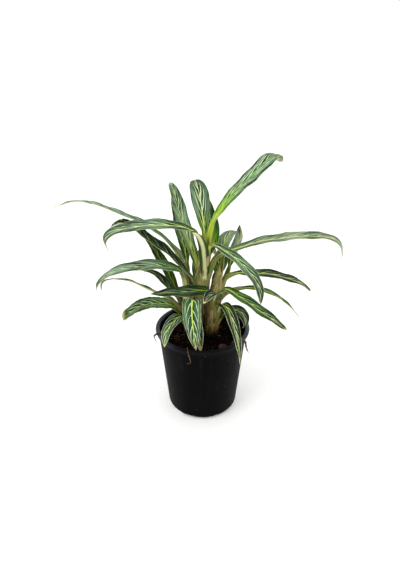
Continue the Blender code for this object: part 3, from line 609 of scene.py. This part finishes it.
def leafMaterial(name, leaf, number, bladeLength):
    made = startMaterial(name, 0.42, 0.12)
    along, aside, across, margin, blade, vein, veinGap, sheath, under = map(
        pointValue, ("along", "aside", "across", "margin", "blade", "vein", "veinGap", "sheath", "under"))
    seed = 11.3 * number
    v, fromRib = calc("ABSOLUTE", across), calc("ABSOLUTE", aside)
    place = spot(along, aside, seed)

    # Side veins: the nearest one, wandering a little, thinner outwards
    wander = times(minus(grain(place, 0.1, 2), 0.5), 0.55)
    toVein = times(calc("PINGPONG", plus(vein, wander), 0.5), veinGap)
    breaks = grain(place, 0.16, 3, 0.6)
    veinHalf = fade(v, 0, 0.8, leaf["veinWidth"], leaf["veinWidth"] * 0.5)
    veinHalf = times(veinHalf, fade(breaks, 0.32, 0.62, 0.45, 1.15))
    veins = fade(toVein, times(veinHalf, 0.3), veinHalf, 1, 0)
    inBlade = times(fade(blade, -0.04, 0.06), fade(blade, 0.8, 0.97, 1, 0))
    inBlade = times(inBlade, fade(veinGap, 0.6, 1.8, 0.15, 1))
    veins = times(veins, times(inBlade, fade(v, leaf["veinEnd"], leaf["veinEnd"] + 0.26, 1, 0)))
    band = times(times(fade(v, 0.6, 0.74), fade(v, 0.78, 0.9, 1, 0)), times(inBlade, fade(breaks, 0.36, 0.6)))

    # Streaks that leave the midrib at a low angle, broad ones and fine ones, and others along the leaf
    slant = minus(fromRib, times(along, leaf["slant"]))
    broad = grain(spot(times(slant, 0.24), times(along, 0.03), seed), 1, 2, 0.5)
    streaks = grain(spot(times(slant, 0.42), times(along, 0.035), seed), 1, 3, 0.55)
    lengthways = grain(spot(times(along, 0.025), times(aside, 0.5), seed), 1, 2, 0.5)
    colour = blend(fade(blade, 0.1, 0.55), leaf["base"], leaf["light"])
    colour = blend(fade(broad, 0.58, 0.42), colour, leaf["dark"])
    inside = times(fade(v, 0.84, 0.96, 1, 0), fade(blade, 0.1, 0.52, 0, 1))
    inside = times(inside, fade(blade, 0.74, 0.96, 1, leaf["silverEnd"]))
    halo = times(fade(toVein, 0.3, leaf["halo"], 1, 0), fade(v, 0.1, 0.5, 0.7, 0))
    wash = times(fade(streaks, 0.42, 0.6, leaf["fill"], 0.85), fade(broad, 0.38, 0.54, 0.5 * leaf["fill"], 1))
    wash = times(calc("MAXIMUM", halo, wash), times(inside, leaf["silver"]))
    colour = blend(wash, colour, leaf["silverColour"])
    # The far end of the blade darker: partly the leaf's own colour, partly painted shade
    if leaf["darkEnd"]:
        colour = blend(fade(blade, 0.45, 0.9, 0, leaf["darkEnd"]), colour, leaf["dark"])
    wedge = times(fade(fromRib, 1, 4, 0.8, 0), fade(streaks, 0.54, 0.42))
    colour = blend(wedge, colour, leaf["dark"])
    colour = blend(times(band, leaf["band"] * leaf["veins"]), colour, leaf["mint"])
    if leaf["shade"]:
        half = fade(times(across, -1 if leaf["shade"] > 0 else 1), 0, 0.35, 0, abs(leaf["shade"]))
        colour = blend(half, colour, leaf["dark"])
    veinColour = blend(fade(blade, 0.15, 0.5), leaf["limeColour"], leaf["mint"])
    colour = blend(times(veins, leaf["veins"]), colour, veinColour)

    # The midrib, wider where a side vein joins it
    join = times(veins, fade(v, 0.04, 0.3, 1, 0))
    ribHalf = fade(blade, 0, 1, leaf["yellowWidth"], leaf["yellowWidth"] * 0.35)
    ribHalf = times(ribHalf, fade(grain(place, 0.22, 2), 0.3, 0.7, 0.65, 1.2))
    rib = fade(fromRib, times(ribHalf, 0.35), ribHalf, 1, 0)
    colour = blend(times(join, 0.8 * leaf["yellow"]), colour, leaf["yellowColour"])
    colour = blend(times(rib, leaf["yellow"]), colour, leaf["yellowColour"])

    # Lime where the blade begins, and a pale margin
    lime = fade(plus(blade, times(lengthways, 0.35)), 0.05, 0.05 + max(leaf["lime"], 0.02), 1, 0)
    lime = times(lime, fade(lengthways, 0.48, 0.55))
    colour = blend(times(lime, 0.9 if leaf["lime"] else 0), colour, leaf["limeColour"])
    edgeNoise = fade(grain(place, 0.3, 2), 0.3, 0.7, 0.35, 1.3)
    edgeWide = times(edgeNoise, fade(blade, 0.6, 1, leaf["cream"], leaf["cream"] * 2.2))
    edge = fade(margin, times(edgeWide, 0.5), plus(edgeWide, 0.15), 1, 0)
    colour = blend(times(edge, fade(blade, -0.05, 0.1)), colour, leaf["creamColour"])

    # The underside is duller, with the rib standing pale, and the tip is dry on both sides
    lower = blend(fade(streaks, 0.35, 0.7, 0, 0.6), leaf["under"], scaled(leaf["under"], 1.28))
    lower = blend(times(veins, fade(blade, 0.1, 0.3, 0, 0.4)), lower, leaf["underVein"])
    ribWide = leaf["underRibWidth"]
    lower = blend(fade(fromRib, 0.35 * ribWide, ribWide, 0.9, 0), lower, leaf["underRib"])
    colour = blend(under, colour, lower)
    ragged = minus(lengthways, 0.5)
    tipFrom = 1 - leaf["tip"] / bladeLength
    colour = blend(fade(plus(blade, times(ragged, 0.1)), tipFrom - 0.03, tipFrom + 0.05), colour, leaf["tipColour"])

    # Stalk and sheath, finely lined and cracked, browner at the dry edges of the sheath, dark near the mix, partly
    # from damp and partly as painted shade
    lines = grain(spot(times(along, 0.03), times(aside, 1.5), seed), 1, 3, 0.6)
    lined = fade(lines, 0.4, 0.66, 0, 0.8)
    stem = blend(lined, leaf["stalkColour"], scaled(leaf["stalkColour"], 0.6))
    foot = blend(lined, leaf["footColour"], scaled(leaf["footColour"], 0.7))
    crack = cracks(spot(times(along, 0.012), times(aside, 0.16), seed))
    foot = blend(fade(crack, 0, 0.13, 0.85, 0), foot, leaf["crack"])
    height = inPlace()[1][2]
    # Near the mix: partly damp staining, partly painted shade
    foot = blend(fade(plus(height, times(lines, 0.009)), 0.108, 0.124, 0.94, 0), foot, shootSet["dampAndShade"])
    stem = blend(sheath, stem, foot)
    dryEdge = times(fade(lines, 0.35, 0.6), fade(sheath, 0.1, 0.6))
    stem = blend(times(fade(margin, 0.3, 1.4, 1, 0), dryEdge), stem, leaf["dryEdge"])
    colour = blend(fade(plus(blade, times(ragged, 0.12)), -0.03, 0.08, 1, 0), colour, stem)
    if leaf["dry"]:
        dry = fade(plus(blade, times(breaks, 0.3)), 1.05 - 0.5 * leaf["dry"], 1.25 - 0.5 * leaf["dry"])
        colour = blend(dry, colour, leaf["dryColour"])
    relief = minus(times(streaks, 0.5), times(veins, 0.7))
    finishMaterial(colour, fade(breaks, 0.3, 0.7, 0.36, 0.52), relief, 0.00022, 0.6)
    return made


def makeLeaves():
    number = 0
    for shoot, group in leaves.items():
        for i, leaf in enumerate(group):
            number += 1
            piece = makeLeaf(f"{shoot}Leaf{i + 1}", shoot, {**usualLooks, **tones[leaf["tone"]], **leaf}, number)
            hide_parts(f"leaf_{shoot}_{i + 1}")
    print(number, "leaves made")


# Pot: thin black plastic with a rolled lip and drain slots through its bottom corner

potSet = dict(
    rim=60, height=116, base=45.5, wall=1.4, floor=1.8, corner=6.5, lipHeight=4, lipOut=3.8,
    sides=192, oval=0.22, slots=8, slotWidth=7, slotHeight=4, slotRound=1.5, slotReach=9, slotSides=24,
    black=(3, 3, 5), dust=(60, 54, 48), lipWearAndSheen=(96, 104, 112), grit=(190, 186, 178))


def wallRadius(height):
    under = potSet["rim"] - potSet["lipOut"]
    return potSet["base"] + (under - potSet["base"]) * height / (potSet["height"] - potSet["lipHeight"])


def arc(centre, radius, start, end, steps):
    return [(centre[0] + radius * math.cos(math.radians(a)), centre[1] + radius * math.sin(math.radians(a)))
            for a in np.linspace(start, end, steps + 1)]


def potProfile():
    # Reach and height round the wall: over the lip, down the outside, under the floor and up the inside
    lip, top = potSet["lipHeight"] / 2, potSet["height"]
    under = top - potSet["lipHeight"]
    corner, wall, floor = potSet["corner"], potSet["wall"], potSet["floor"]
    inside, hollow = wallRadius(under) - wall, corner - wall
    bend = wallRadius(corner) - corner
    return np.array([
        *arc((potSet["rim"] - lip, top - lip), lip, 90, -75, 14),
        (wallRadius(under) + 0.5, under - 0.1), (wallRadius(under), under - 0.7),
        *[(wallRadius(z), z) for z in np.linspace(under - 8, corner + 4, 26)],
        *arc((bend, corner), corner, 0, -90, 10),
        (30, 0), (12, 0), (0, 0), (0, floor), (12, floor), (30, floor),
        *arc((bend, floor + hollow), hollow, -90, 0, 6),
        *[(wallRadius(z) - wall, z) for z in np.linspace(corner + 6, under - 2, 12)],
        (inside, under), (inside, top - 0.9), (inside + 0.25, top - 0.25), (inside + 0.8, top)])


def turnedMesh(profile, sides, oval):
    # The closed profile turned round the pot's axis; points on the axis stay single
    turn = around(sides)
    points, rows = [], []
    for radius, height in profile:
        if radius < 1e-6:
            rows.append([len(points)] * sides)
            points.append((0, 0, height))
            continue
        rows.append(list(range(len(points), len(points) + sides)))
        wobble = oval * (radius / potSet["rim"]) * (height / potSet["height"])
        reach = radius + wobble * (np.sin(2 * turn + 0.7) + 0.5 * np.sin(5 * turn))
        points += list(zip(reach * np.cos(turn), reach * np.sin(turn), [height] * sides))
    faces = []
    for a, b in zip(rows, rows[1:] + rows[:1]):
        if a[0] == a[1] and b[0] == b[1]:
            continue
        for j in range(sides):
            k = (j + 1) % sides
            faces.append(list(dict.fromkeys((a[j], b[j], b[k], a[k]))))
    return points, faces


def potMaterial():
    made = startMaterial("blackPlastic", 0.5, 0.03)
    where, (x, y, z) = inPlace()
    cloudy = grain(where, 22, 4, 0.6)
    fine = grain(where, 900, 2, 0.5)
    turn = calc("ARCTAN2", y, x)
    smear = grain(spot(times(turn, 9), times(z, 14), 0), 1, 4, 0.65)
    scratches = grain(spot(times(turn, 60), times(z, 26), 4), 1, 2, 0.5)
    specks = grain(where, 330, 1, 0.4)
    dust = times(fade(smear, 0.46, 0.74, 0, 0.16), fade(cloudy, 0.35, 0.65))
    dust = plus(dust, fade(scratches, 0.66, 0.8, 0, 0.12))
    dust = plus(dust, times(fade(specks, 0.74, 0.82, 0, 0.4), fade(cloudy, 0.5, 0.6)))
    colour = blend(dust, potSet["black"], potSet["dust"])
    low = times(fade(z, 0.0015, 0.006, 0.95, 0), fade(x, -0.026, 0.012, 1, 0.1))
    grit = times(low, fade(specks, 0.5, 0.58))
    grit = calc("MAXIMUM", grit, fade(specks, 0.76, 0.82, 0, 0.12))
    colour = blend(grit, colour, potSet["grit"])
    # The lip: a painted sheen, pale blue-grey at its sides and nearly gone at the front and back, broken by cloudy
    # patches of wear
    lip = times(fade(z, 0.1118, 0.1135), fade(cloudy, 0.2, 0.7, 0.35, 1))
    lip = times(lip, fade(calc("ABSOLUTE", x), 0.03, 0.057, 0.05, 0.8))
    colour = blend(lip, colour, potSet["lipWearAndSheen"])
    finishMaterial(colour, fade(smear, 0.3, 0.75, 0.4, 0.62), plus(fine, times(cloudy, 2)), 0.00012, 0.5)
    return made


def slotCutter(i):
    # A bar with rounded ends that points outwards through the bottom corner
    turn = 2 * math.pi * (i + 0.5) / potSet["slots"]
    out, across = np.array([math.cos(turn), math.sin(turn)]), np.array([-math.sin(turn), math.cos(turn)])
    corners, count, bend = [], potSet["slotSides"], potSet["slotRound"]
    for reach in (potSet["base"] - potSet["slotReach"], potSet["base"] + potSet["slotReach"]):
        for a in np.radians(np.linspace(0, 360, count, endpoint=False)):
            wide = np.sign(math.cos(a)) * (potSet["slotWidth"] / 2 - bend) + bend * math.cos(a)
            corners.append((*(out * reach + across * wide), max(math.sin(a), -0.9) * potSet["slotHeight"]))
    faces = [[j, (j + 1) % count, count + (j + 1) % count, count + j] for j in range(count)]
    faces += [list(range(count))[::-1], list(range(count, 2 * count))]
    return placed(f"slotCutter{i + 1}", newMesh(f"slotCutter{i + 1}", corners, faces))


def makePot():
    piece = meshPiece("nurseryPot", *turnedMesh(potProfile(), potSet["sides"], potSet["oval"]), potMaterial())
    cutters = [slotCutter(i) for i in range(potSet["slots"])]
    for cutter in cutters:
        slot = piece.modifiers.new(cutter.name, "BOOLEAN")
        slot.operation = "DIFFERENCE"
        slot.object = cutter
    finished = bpy.data.meshes.new_from_object(piece.evaluated_get(bpy.context.evaluated_depsgraph_get()))
    piece.modifiers.clear()
    piece.data = finished
    for cutter in cutters:
        bpy.data.objects.remove(cutter)
    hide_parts("pot")
    print("pot made")


# Potting mix: dark, lumpy, heaped round the shoots, with crumbs, chips and fibres lying on it

mixSet = dict(
    top=101, lump=1.8, lumpSize=9, mound=5, moundReach=34, moundMiddle=(-1, 13), gap=0.3,
    rings=92, sides=208, spread=51,
    crumbs=760, crumb=dict(size=(0.5, 1.5), long=1, wide=(0.6, 1), tall=(0.5, 0.9)),
    chips=90, chip=dict(size=(1.3, 2.6), long=1.6, wide=(0.4, 0.8), tall=(0.18, 0.35)),
    fibres=46, fibre=(0.12, 0.28), fibreSpread=46, fibreEnd=50, fibreStep=1.8, rough=0.22,
    black=(6, 5, 5), brown=(42, 30, 24), pale=(104, 82, 62))


def mixRadius(height):
    return wallRadius(height) - potSet["wall"] - mixSet["gap"]


def mixHeight(x, y):
    # The mound, the lumps, which fade out towards the wall, and a fine roughness
    place = Vector((x, y, 0)) / mixSet["lumpSize"]
    away = math.hypot(x - mixSet["moundMiddle"][0], y - mixSet["moundMiddle"][1]) / mixSet["moundReach"]
    lump = noise.noise(place) + 0.5 * noise.noise(place * 2.3 + Vector((7, 3, 1)))
    lump = mixSet["lump"] * lump + mixSet["mound"] * max(1 - away**2, 0) ** 2
    level = min(1, (mixRadius(mixSet["top"]) - math.hypot(x, y)) / mixSet["lumpSize"])
    fine = 0.55 * noise.noise(Vector((x, y, 5)) / 2.6) + 0.28 * noise.noise(Vector((x, y, 9)) / 1.1)
    return mixSet["top"] + lump * max(level, 0) + fine * min(1, level + 0.3)


def mixMaterial():
    made = startMaterial("pottingMix", 0.95, 0)
    where, parts = inPlace()
    crumbs = grain(where, 420, 4, 0.7)
    patches = grain(where, 60, 3, 0.55)
    colour = blend(fade(crumbs, 0.4, 0.72, 0, 0.8), mixSet["black"], mixSet["brown"])
    left = fade(parts[0], -0.03, 0.012, 1, 0.25)
    colour = blend(times(fade(patches, 0.45, 0.7, 0, 0.35), left), colour, mixSet["brown"])
    colour = blend(fade(pointValue("tone"), 0.55, 1, 0, 0.85), colour, mixSet["pale"])
    finishMaterial(colour, fade(crumbs, 0.3, 0.7, 0.8, 1), crumbs, 0.0008, 0.9)
    return made


def ballMesh(steps):
    # Points and triangles of a round ball with unit radius
    shape = bmesh.new()
    bmesh.ops.create_icosphere(shape, subdivisions=steps, radius=1)
    points = np.array([vertex.co for vertex in shape.verts])
    faces = np.array([[vertex.index for vertex in face.verts] for face in shape.faces])
    shape.free()
    return points, faces


def makeMix(finish):
    sides, rings, top, brim = mixSet["sides"], mixSet["rings"], mixSet["top"], mixRadius(mixSet["top"])
    hollow, deep = potSet["corner"] - potSet["wall"], wallRadius(potSet["corner"]) - potSet["corner"]
    inner = potSet["floor"] + hollow
    turn = around(sides)
    points = [(0, 0, mixHeight(0, 0))]
    for i in range(1, rings + 1):
        ring = [(brim * i / rings * math.cos(a), brim * i / rings * math.sin(a)) for a in turn]
        points += [(x, y, mixHeight(x, y)) for x, y in ring]
    profile = [(mixRadius(z), z) for z in np.linspace(top - 6, inner, 12)]
    profile += arc((deep, inner), hollow - mixSet["gap"], -15, -90, 6)
    for radius, height in profile:
        points += [(radius * math.cos(a), radius * math.sin(a), height) for a in turn]
    points.append((0, 0, potSet["floor"] + mixSet["gap"]))
    rows = rings + len(profile)
    lastRow = 1 + (rows - 1) * sides
    faces = [[0, 1 + j, 1 + (j + 1) % sides] for j in range(sides)]
    faces += sheetFaces(rows, sides, first=1, closed=True, turned=True).tolist()
    faces += [[lastRow + (j + 1) % sides, lastRow + j, len(points) - 1] for j in range(sides)]
    piece = meshPiece("pottingMix", points, faces, finish, dict(tone=np.zeros(len(points))), sharp=60)
    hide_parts("soil")
    print("potting mix made")


def onMix(x, y, spread, room):
    # Whether a place lies within the spread and has this much room to every shoot
    stems = shootSet["stems"].values()
    return math.hypot(x, y) <= spread and all(
        math.hypot(x - stem["foot"][0], y - stem["foot"][1]) >= stem["radii"][0] + room for stem in stems)


def makeCrumbs(finish):
    draw = np.random.default_rng(21)
    spread, fibreSpread, rough = mixSet["spread"], mixSet["fibreSpread"], mixSet["rough"]
    ball, ballFaces = ballMesh(1)
    allPoints, allFaces, tone = [], [], []

    def add(points, faces, shade):
        allFaces.extend((np.asarray(faces) + sum(map(len, tone))).tolist())
        allPoints.append(points)
        tone.append(np.full(len(points), shade))

    while len(tone) < mixSet["crumbs"] + mixSet["chips"]:
        x, y = draw.uniform(-spread - 1, spread + 1, 2)
        if not onMix(x, y, spread, 1):
            continue
        kind = mixSet["crumb" if len(tone) < mixSet["crumbs"] else "chip"]
        size = draw.uniform(*kind["size"])
        scale = size * np.array([kind["long"], draw.uniform(*kind["wide"]), draw.uniform(*kind["tall"])])
        crumb = ball * (1 + draw.uniform(-rough, rough, (len(ball), 1))) * scale
        yaw, pitch = draw.uniform(0, 2 * math.pi), draw.normal(0, 0.3)
        turnZ = [[math.cos(yaw), -math.sin(yaw), 0], [math.sin(yaw), math.cos(yaw), 0], [0, 0, 1]]
        turnY = [[math.cos(pitch), 0, math.sin(pitch)], [0, 1, 0], [-math.sin(pitch), 0, math.cos(pitch)]]
        height = mixHeight(x, y) + 0.25 * scale[2]
        dark = draw.random() < (0.93 if x > -8 else 0.8)  # more pale ones on the left
        shade = draw.uniform(0, 0.62) if dark else draw.uniform(0.6, 1)
        add(crumb @ (np.array(turnZ) @ np.array(turnY)).T + [x, y, height], ballFaces, shade)
    for _ in range(mixSet["fibres"]):
        x, y = draw.uniform(-fibreSpread, fibreSpread, 2)
        if not onMix(x, y, fibreSpread, 2):
            continue
        heading, knots = draw.uniform(0, 2 * math.pi), []
        for _ in range(6):
            knots.append((x, y, mixHeight(x, y) + draw.uniform(0.1, 0.9)))
            heading += draw.normal(0, 0.5)
            x += mixSet["fibreStep"] * math.cos(heading)
            y += mixSet["fibreStep"] * math.sin(heading)
        if math.hypot(x, y) < mixSet["fibreEnd"]:
            add(*tube(smoothLine(knots, 3), draw.uniform(*mixSet["fibre"]), 5), draw.uniform(0.3, 1))
    piece = meshPiece("mixCrumbs", np.concatenate(allPoints), allFaces, finish,
                      dict(tone=np.concatenate(tone)), sharp=50)
    print("crumbs made")


def tube(line, radii, sides):
    # A tube round the line, capped at both ends; radii is one number or one for each point of each ring
    ahead = unit(np.gradient(line, axis=0))
    side = unit(np.cross(ahead, [0.31, 0.17, 0.93]))
    up = np.cross(ahead, side)
    turn = around(sides)
    ring = side[:, None, :] * np.cos(turn)[None, :, None] + up[:, None, :] * np.sin(turn)[None, :, None]
    points = line[:, None, :] + ring * np.broadcast_to(radii, ring.shape[:2])[..., None]
    points = np.concatenate([points.reshape(-1, 3), line[:1], line[-1:]])
    total = len(line) * sides
    a, b, c, d = sheetFaces(len(line), sides, closed=True).T
    j, k = np.arange(sides), (np.arange(sides) + 1) % sides
    bottom, top = np.full(sides, total), np.full(sides, total + 1)
    ends = [np.stack([k, j, bottom], -1), np.stack([total - sides + j, total - sides + k, top], -1)]
    return points, np.concatenate([np.stack([a, b, c], -1), np.stack([a, c, d], -1), *ends])


# Pebble and the dry rootlets that hang over the lip: each rootlet point is x, y, z and radius

bitsSet = dict(
    pebble=(25, -31, 103.5), pebbleHalves=(5.8, 5, 4.2), pebbleDark=(52, 32, 28), pebblePale=(96, 56, 48),
    lumps=((0.12, 1.4), (0.035, 4), (0.012, 11)),  # how high they stand and how close together
    rootSides=14, rootDark=(54, 38, 28), rootPale=(120, 94, 72),
    rootlets=dict(
        front=[(-19.5, -42, 104, 0.5), (-18.8, -46.5, 111, 0.45), (-18.3, -50.5, 116.4, 0.4),
               (-17.8, -54.5, 116.75, 0.4), (-17.2, -60, 115.6, 0.45), (-15, -60.9, 107, 0.5),
               (-14.4, -59.5, 102, 0.45), (-16.6, -59.4, 100.4, 0.4), (-19.5, -59.6, 100, 0.35)],
        left=[(-43, -16.5, 104, 0.8), (-47, -18, 112, 1.1), (-50, -19, 117.5, 1.4), (-55.5, -21, 117.4, 1.3),
              (-60, -22.8, 115.2, 0.9), (-59, -24.5, 111.5, 0.45), (-57, -26.5, 108, 0.35)],
        right=[(35, -25, 104, 0.8), (40, -28.5, 112, 1), (42.5, -30, 117.2, 1.2), (47, -33.2, 117.6, 1.3),
               (51.5, -36.2, 115.6, 1.3), (53, -37.2, 108, 0.9), (56, -38.5, 101, 0.5)]))


def mottledMaterial(name, specular, scale, dark, pale, fadeTo, bump, patches):
    made = startMaterial(name, 0.85, specular)
    where = inPlace()[0]
    mottle = grain(where, scale, 4, 0.65)
    colour = blend(fade(mottle, 0.36, fadeTo), dark, pale)
    if patches:
        colour = blend(fade(grain(where, patches, 2, 0.5), 0.5, 0.75, 0, 0.5), colour, dark)
    finishMaterial(colour, fade(mottle, 0.3, 0.7, 0.75, 0.95), mottle, *bump)
    return made


def makeBits():
    ball, faces = ballMesh(5)
    lumps = [1 + sum(rise * noise.noise(Vector(p) * scale) for rise, scale in bitsSet["lumps"]) for p in ball]
    points = ball * np.array(lumps)[:, None] * bitsSet["pebbleHalves"] + bitsSet["pebble"]
    pair = bitsSet["pebbleDark"], bitsSet["pebblePale"]
    finish = mottledMaterial("redPebble", 0.15, 260, *pair, 0.68, (0.0006, 0.8), 90)
    piece = meshPiece("redPebble", points, faces, finish)
    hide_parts("pebble")
    pair = bitsSet["rootDark"], bitsSet["rootPale"]
    finish = mottledMaterial("dryRoot", 0.12, 240, *pair, 0.66, (0.0004, 0.7), None)
    turn = around(bitsSet["rootSides"])[None, :]
    for number, (name, knots) in enumerate(bitsSet["rootlets"].items()):
        line = smoothLine(knots, 10)
        rows = np.arange(len(line))[:, None]
        knobs = 1 + 0.14 * np.sin(rows * 0.9 + number + 2 * np.cos(turn)) + 0.1 * np.sin(rows * 2.3 + 3 * turn)
        ends = 0.35 + 0.65 * np.minimum(ease(rows, 0, 4), 1 - 0.8 * ease(rows, len(line) - 7, len(line)))
        points, faces = tube(line[:, :3], line[:, 3:4] * knobs * ends, bitsSet["rootSides"])
        piece = meshPiece(name + "Rootlet", points, faces, finish)
        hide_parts("rootlet_" + name)
    print("pebble and rootlets made")


# Camera, floor and soft light

stageSet = dict(  # places and sizes of the camera and the lamps are in metres
    camera=(-0.0033, -0.4973, 0.4307), lookDown=62.73, lens=28.84, sensor=36,
    floorReach=12000, floorDrop=0.3, floorColour=(252, 252, 251), floorCloud=(246, 246, 245), floorGlow=0.1,
    white=(255, 255, 255), skyStrength=1, aim=(0, 0, 0.17),
    lamps=[dict(at=(-0.9, -0.7, 1.5), size=0.9, power=9), dict(at=(1.1, -0.5, 1.2), size=1.2, power=2),
           dict(at=(0.1, 1, 1.6), size=1.2, power=3)])


def makeStage():
    scene = bpy.context.scene
    scene.view_settings.view_transform = "Standard"
    camera = placed("camera", bpy.data.cameras.new("camera"))
    camera.location = stageSet["camera"]
    camera.rotation_euler = (math.radians(stageSet["lookDown"]), 0, 0)
    camera.data.lens = stageSet["lens"]
    camera.data.sensor_fit = "VERTICAL"
    camera.data.sensor_width = camera.data.sensor_height = stageSet["sensor"]
    camera.data.clip_start = 0.01
    scene.camera = camera

    made = startMaterial("paleFloor", 0.9, 0)
    soft = grain(inPlace()[0], 3, 2)
    colour = blend(fade(soft, 0.3, 0.7, 0, 0.4), stageSet["floorColour"], stageSet["floorCloud"])
    put(bench["shader"].inputs["Base Color"], colour)
    put(bench["shader"].inputs["Emission Color"], stageSet["white"])
    put(bench["shader"].inputs["Emission Strength"], stageSet["floorGlow"])
    reach, low = stageSet["floorReach"], -stageSet["floorDrop"]
    corners = [(-reach, -reach, low), (reach, -reach, low), (reach, reach, low), (-reach, reach, low)]
    floor = placed("floor", newMesh("floor", corners, [(0, 1, 2, 3)]))
    floor.data.materials.append(made)

    sky = bpy.data.worlds.new("studio")
    scene.world = sky
    sky.use_nodes = True
    light = sky.node_tree.nodes["Background"]
    put(light.inputs["Color"], stageSet["white"])
    put(light.inputs["Strength"], stageSet["skyStrength"])
    for i, lamp in enumerate(stageSet["lamps"]):
        area = bpy.data.lights.new(f"softbox{i + 1}", "AREA")
        area.size = lamp["size"]
        area.energy = lamp["power"]
        holder = placed(area.name, area)
        holder.location = lamp["at"]
        holder.rotation_euler = (Vector(stageSet["aim"]) - Vector(lamp["at"])).to_track_quat("-Z", "Y").to_euler()
    print("stage set")


makeStage()
makePot()
mixFinish = mixMaterial()
makeMix(mixFinish)
makeCrumbs(mixFinish)
makeShoots()
makeLeaves()
makeBits()
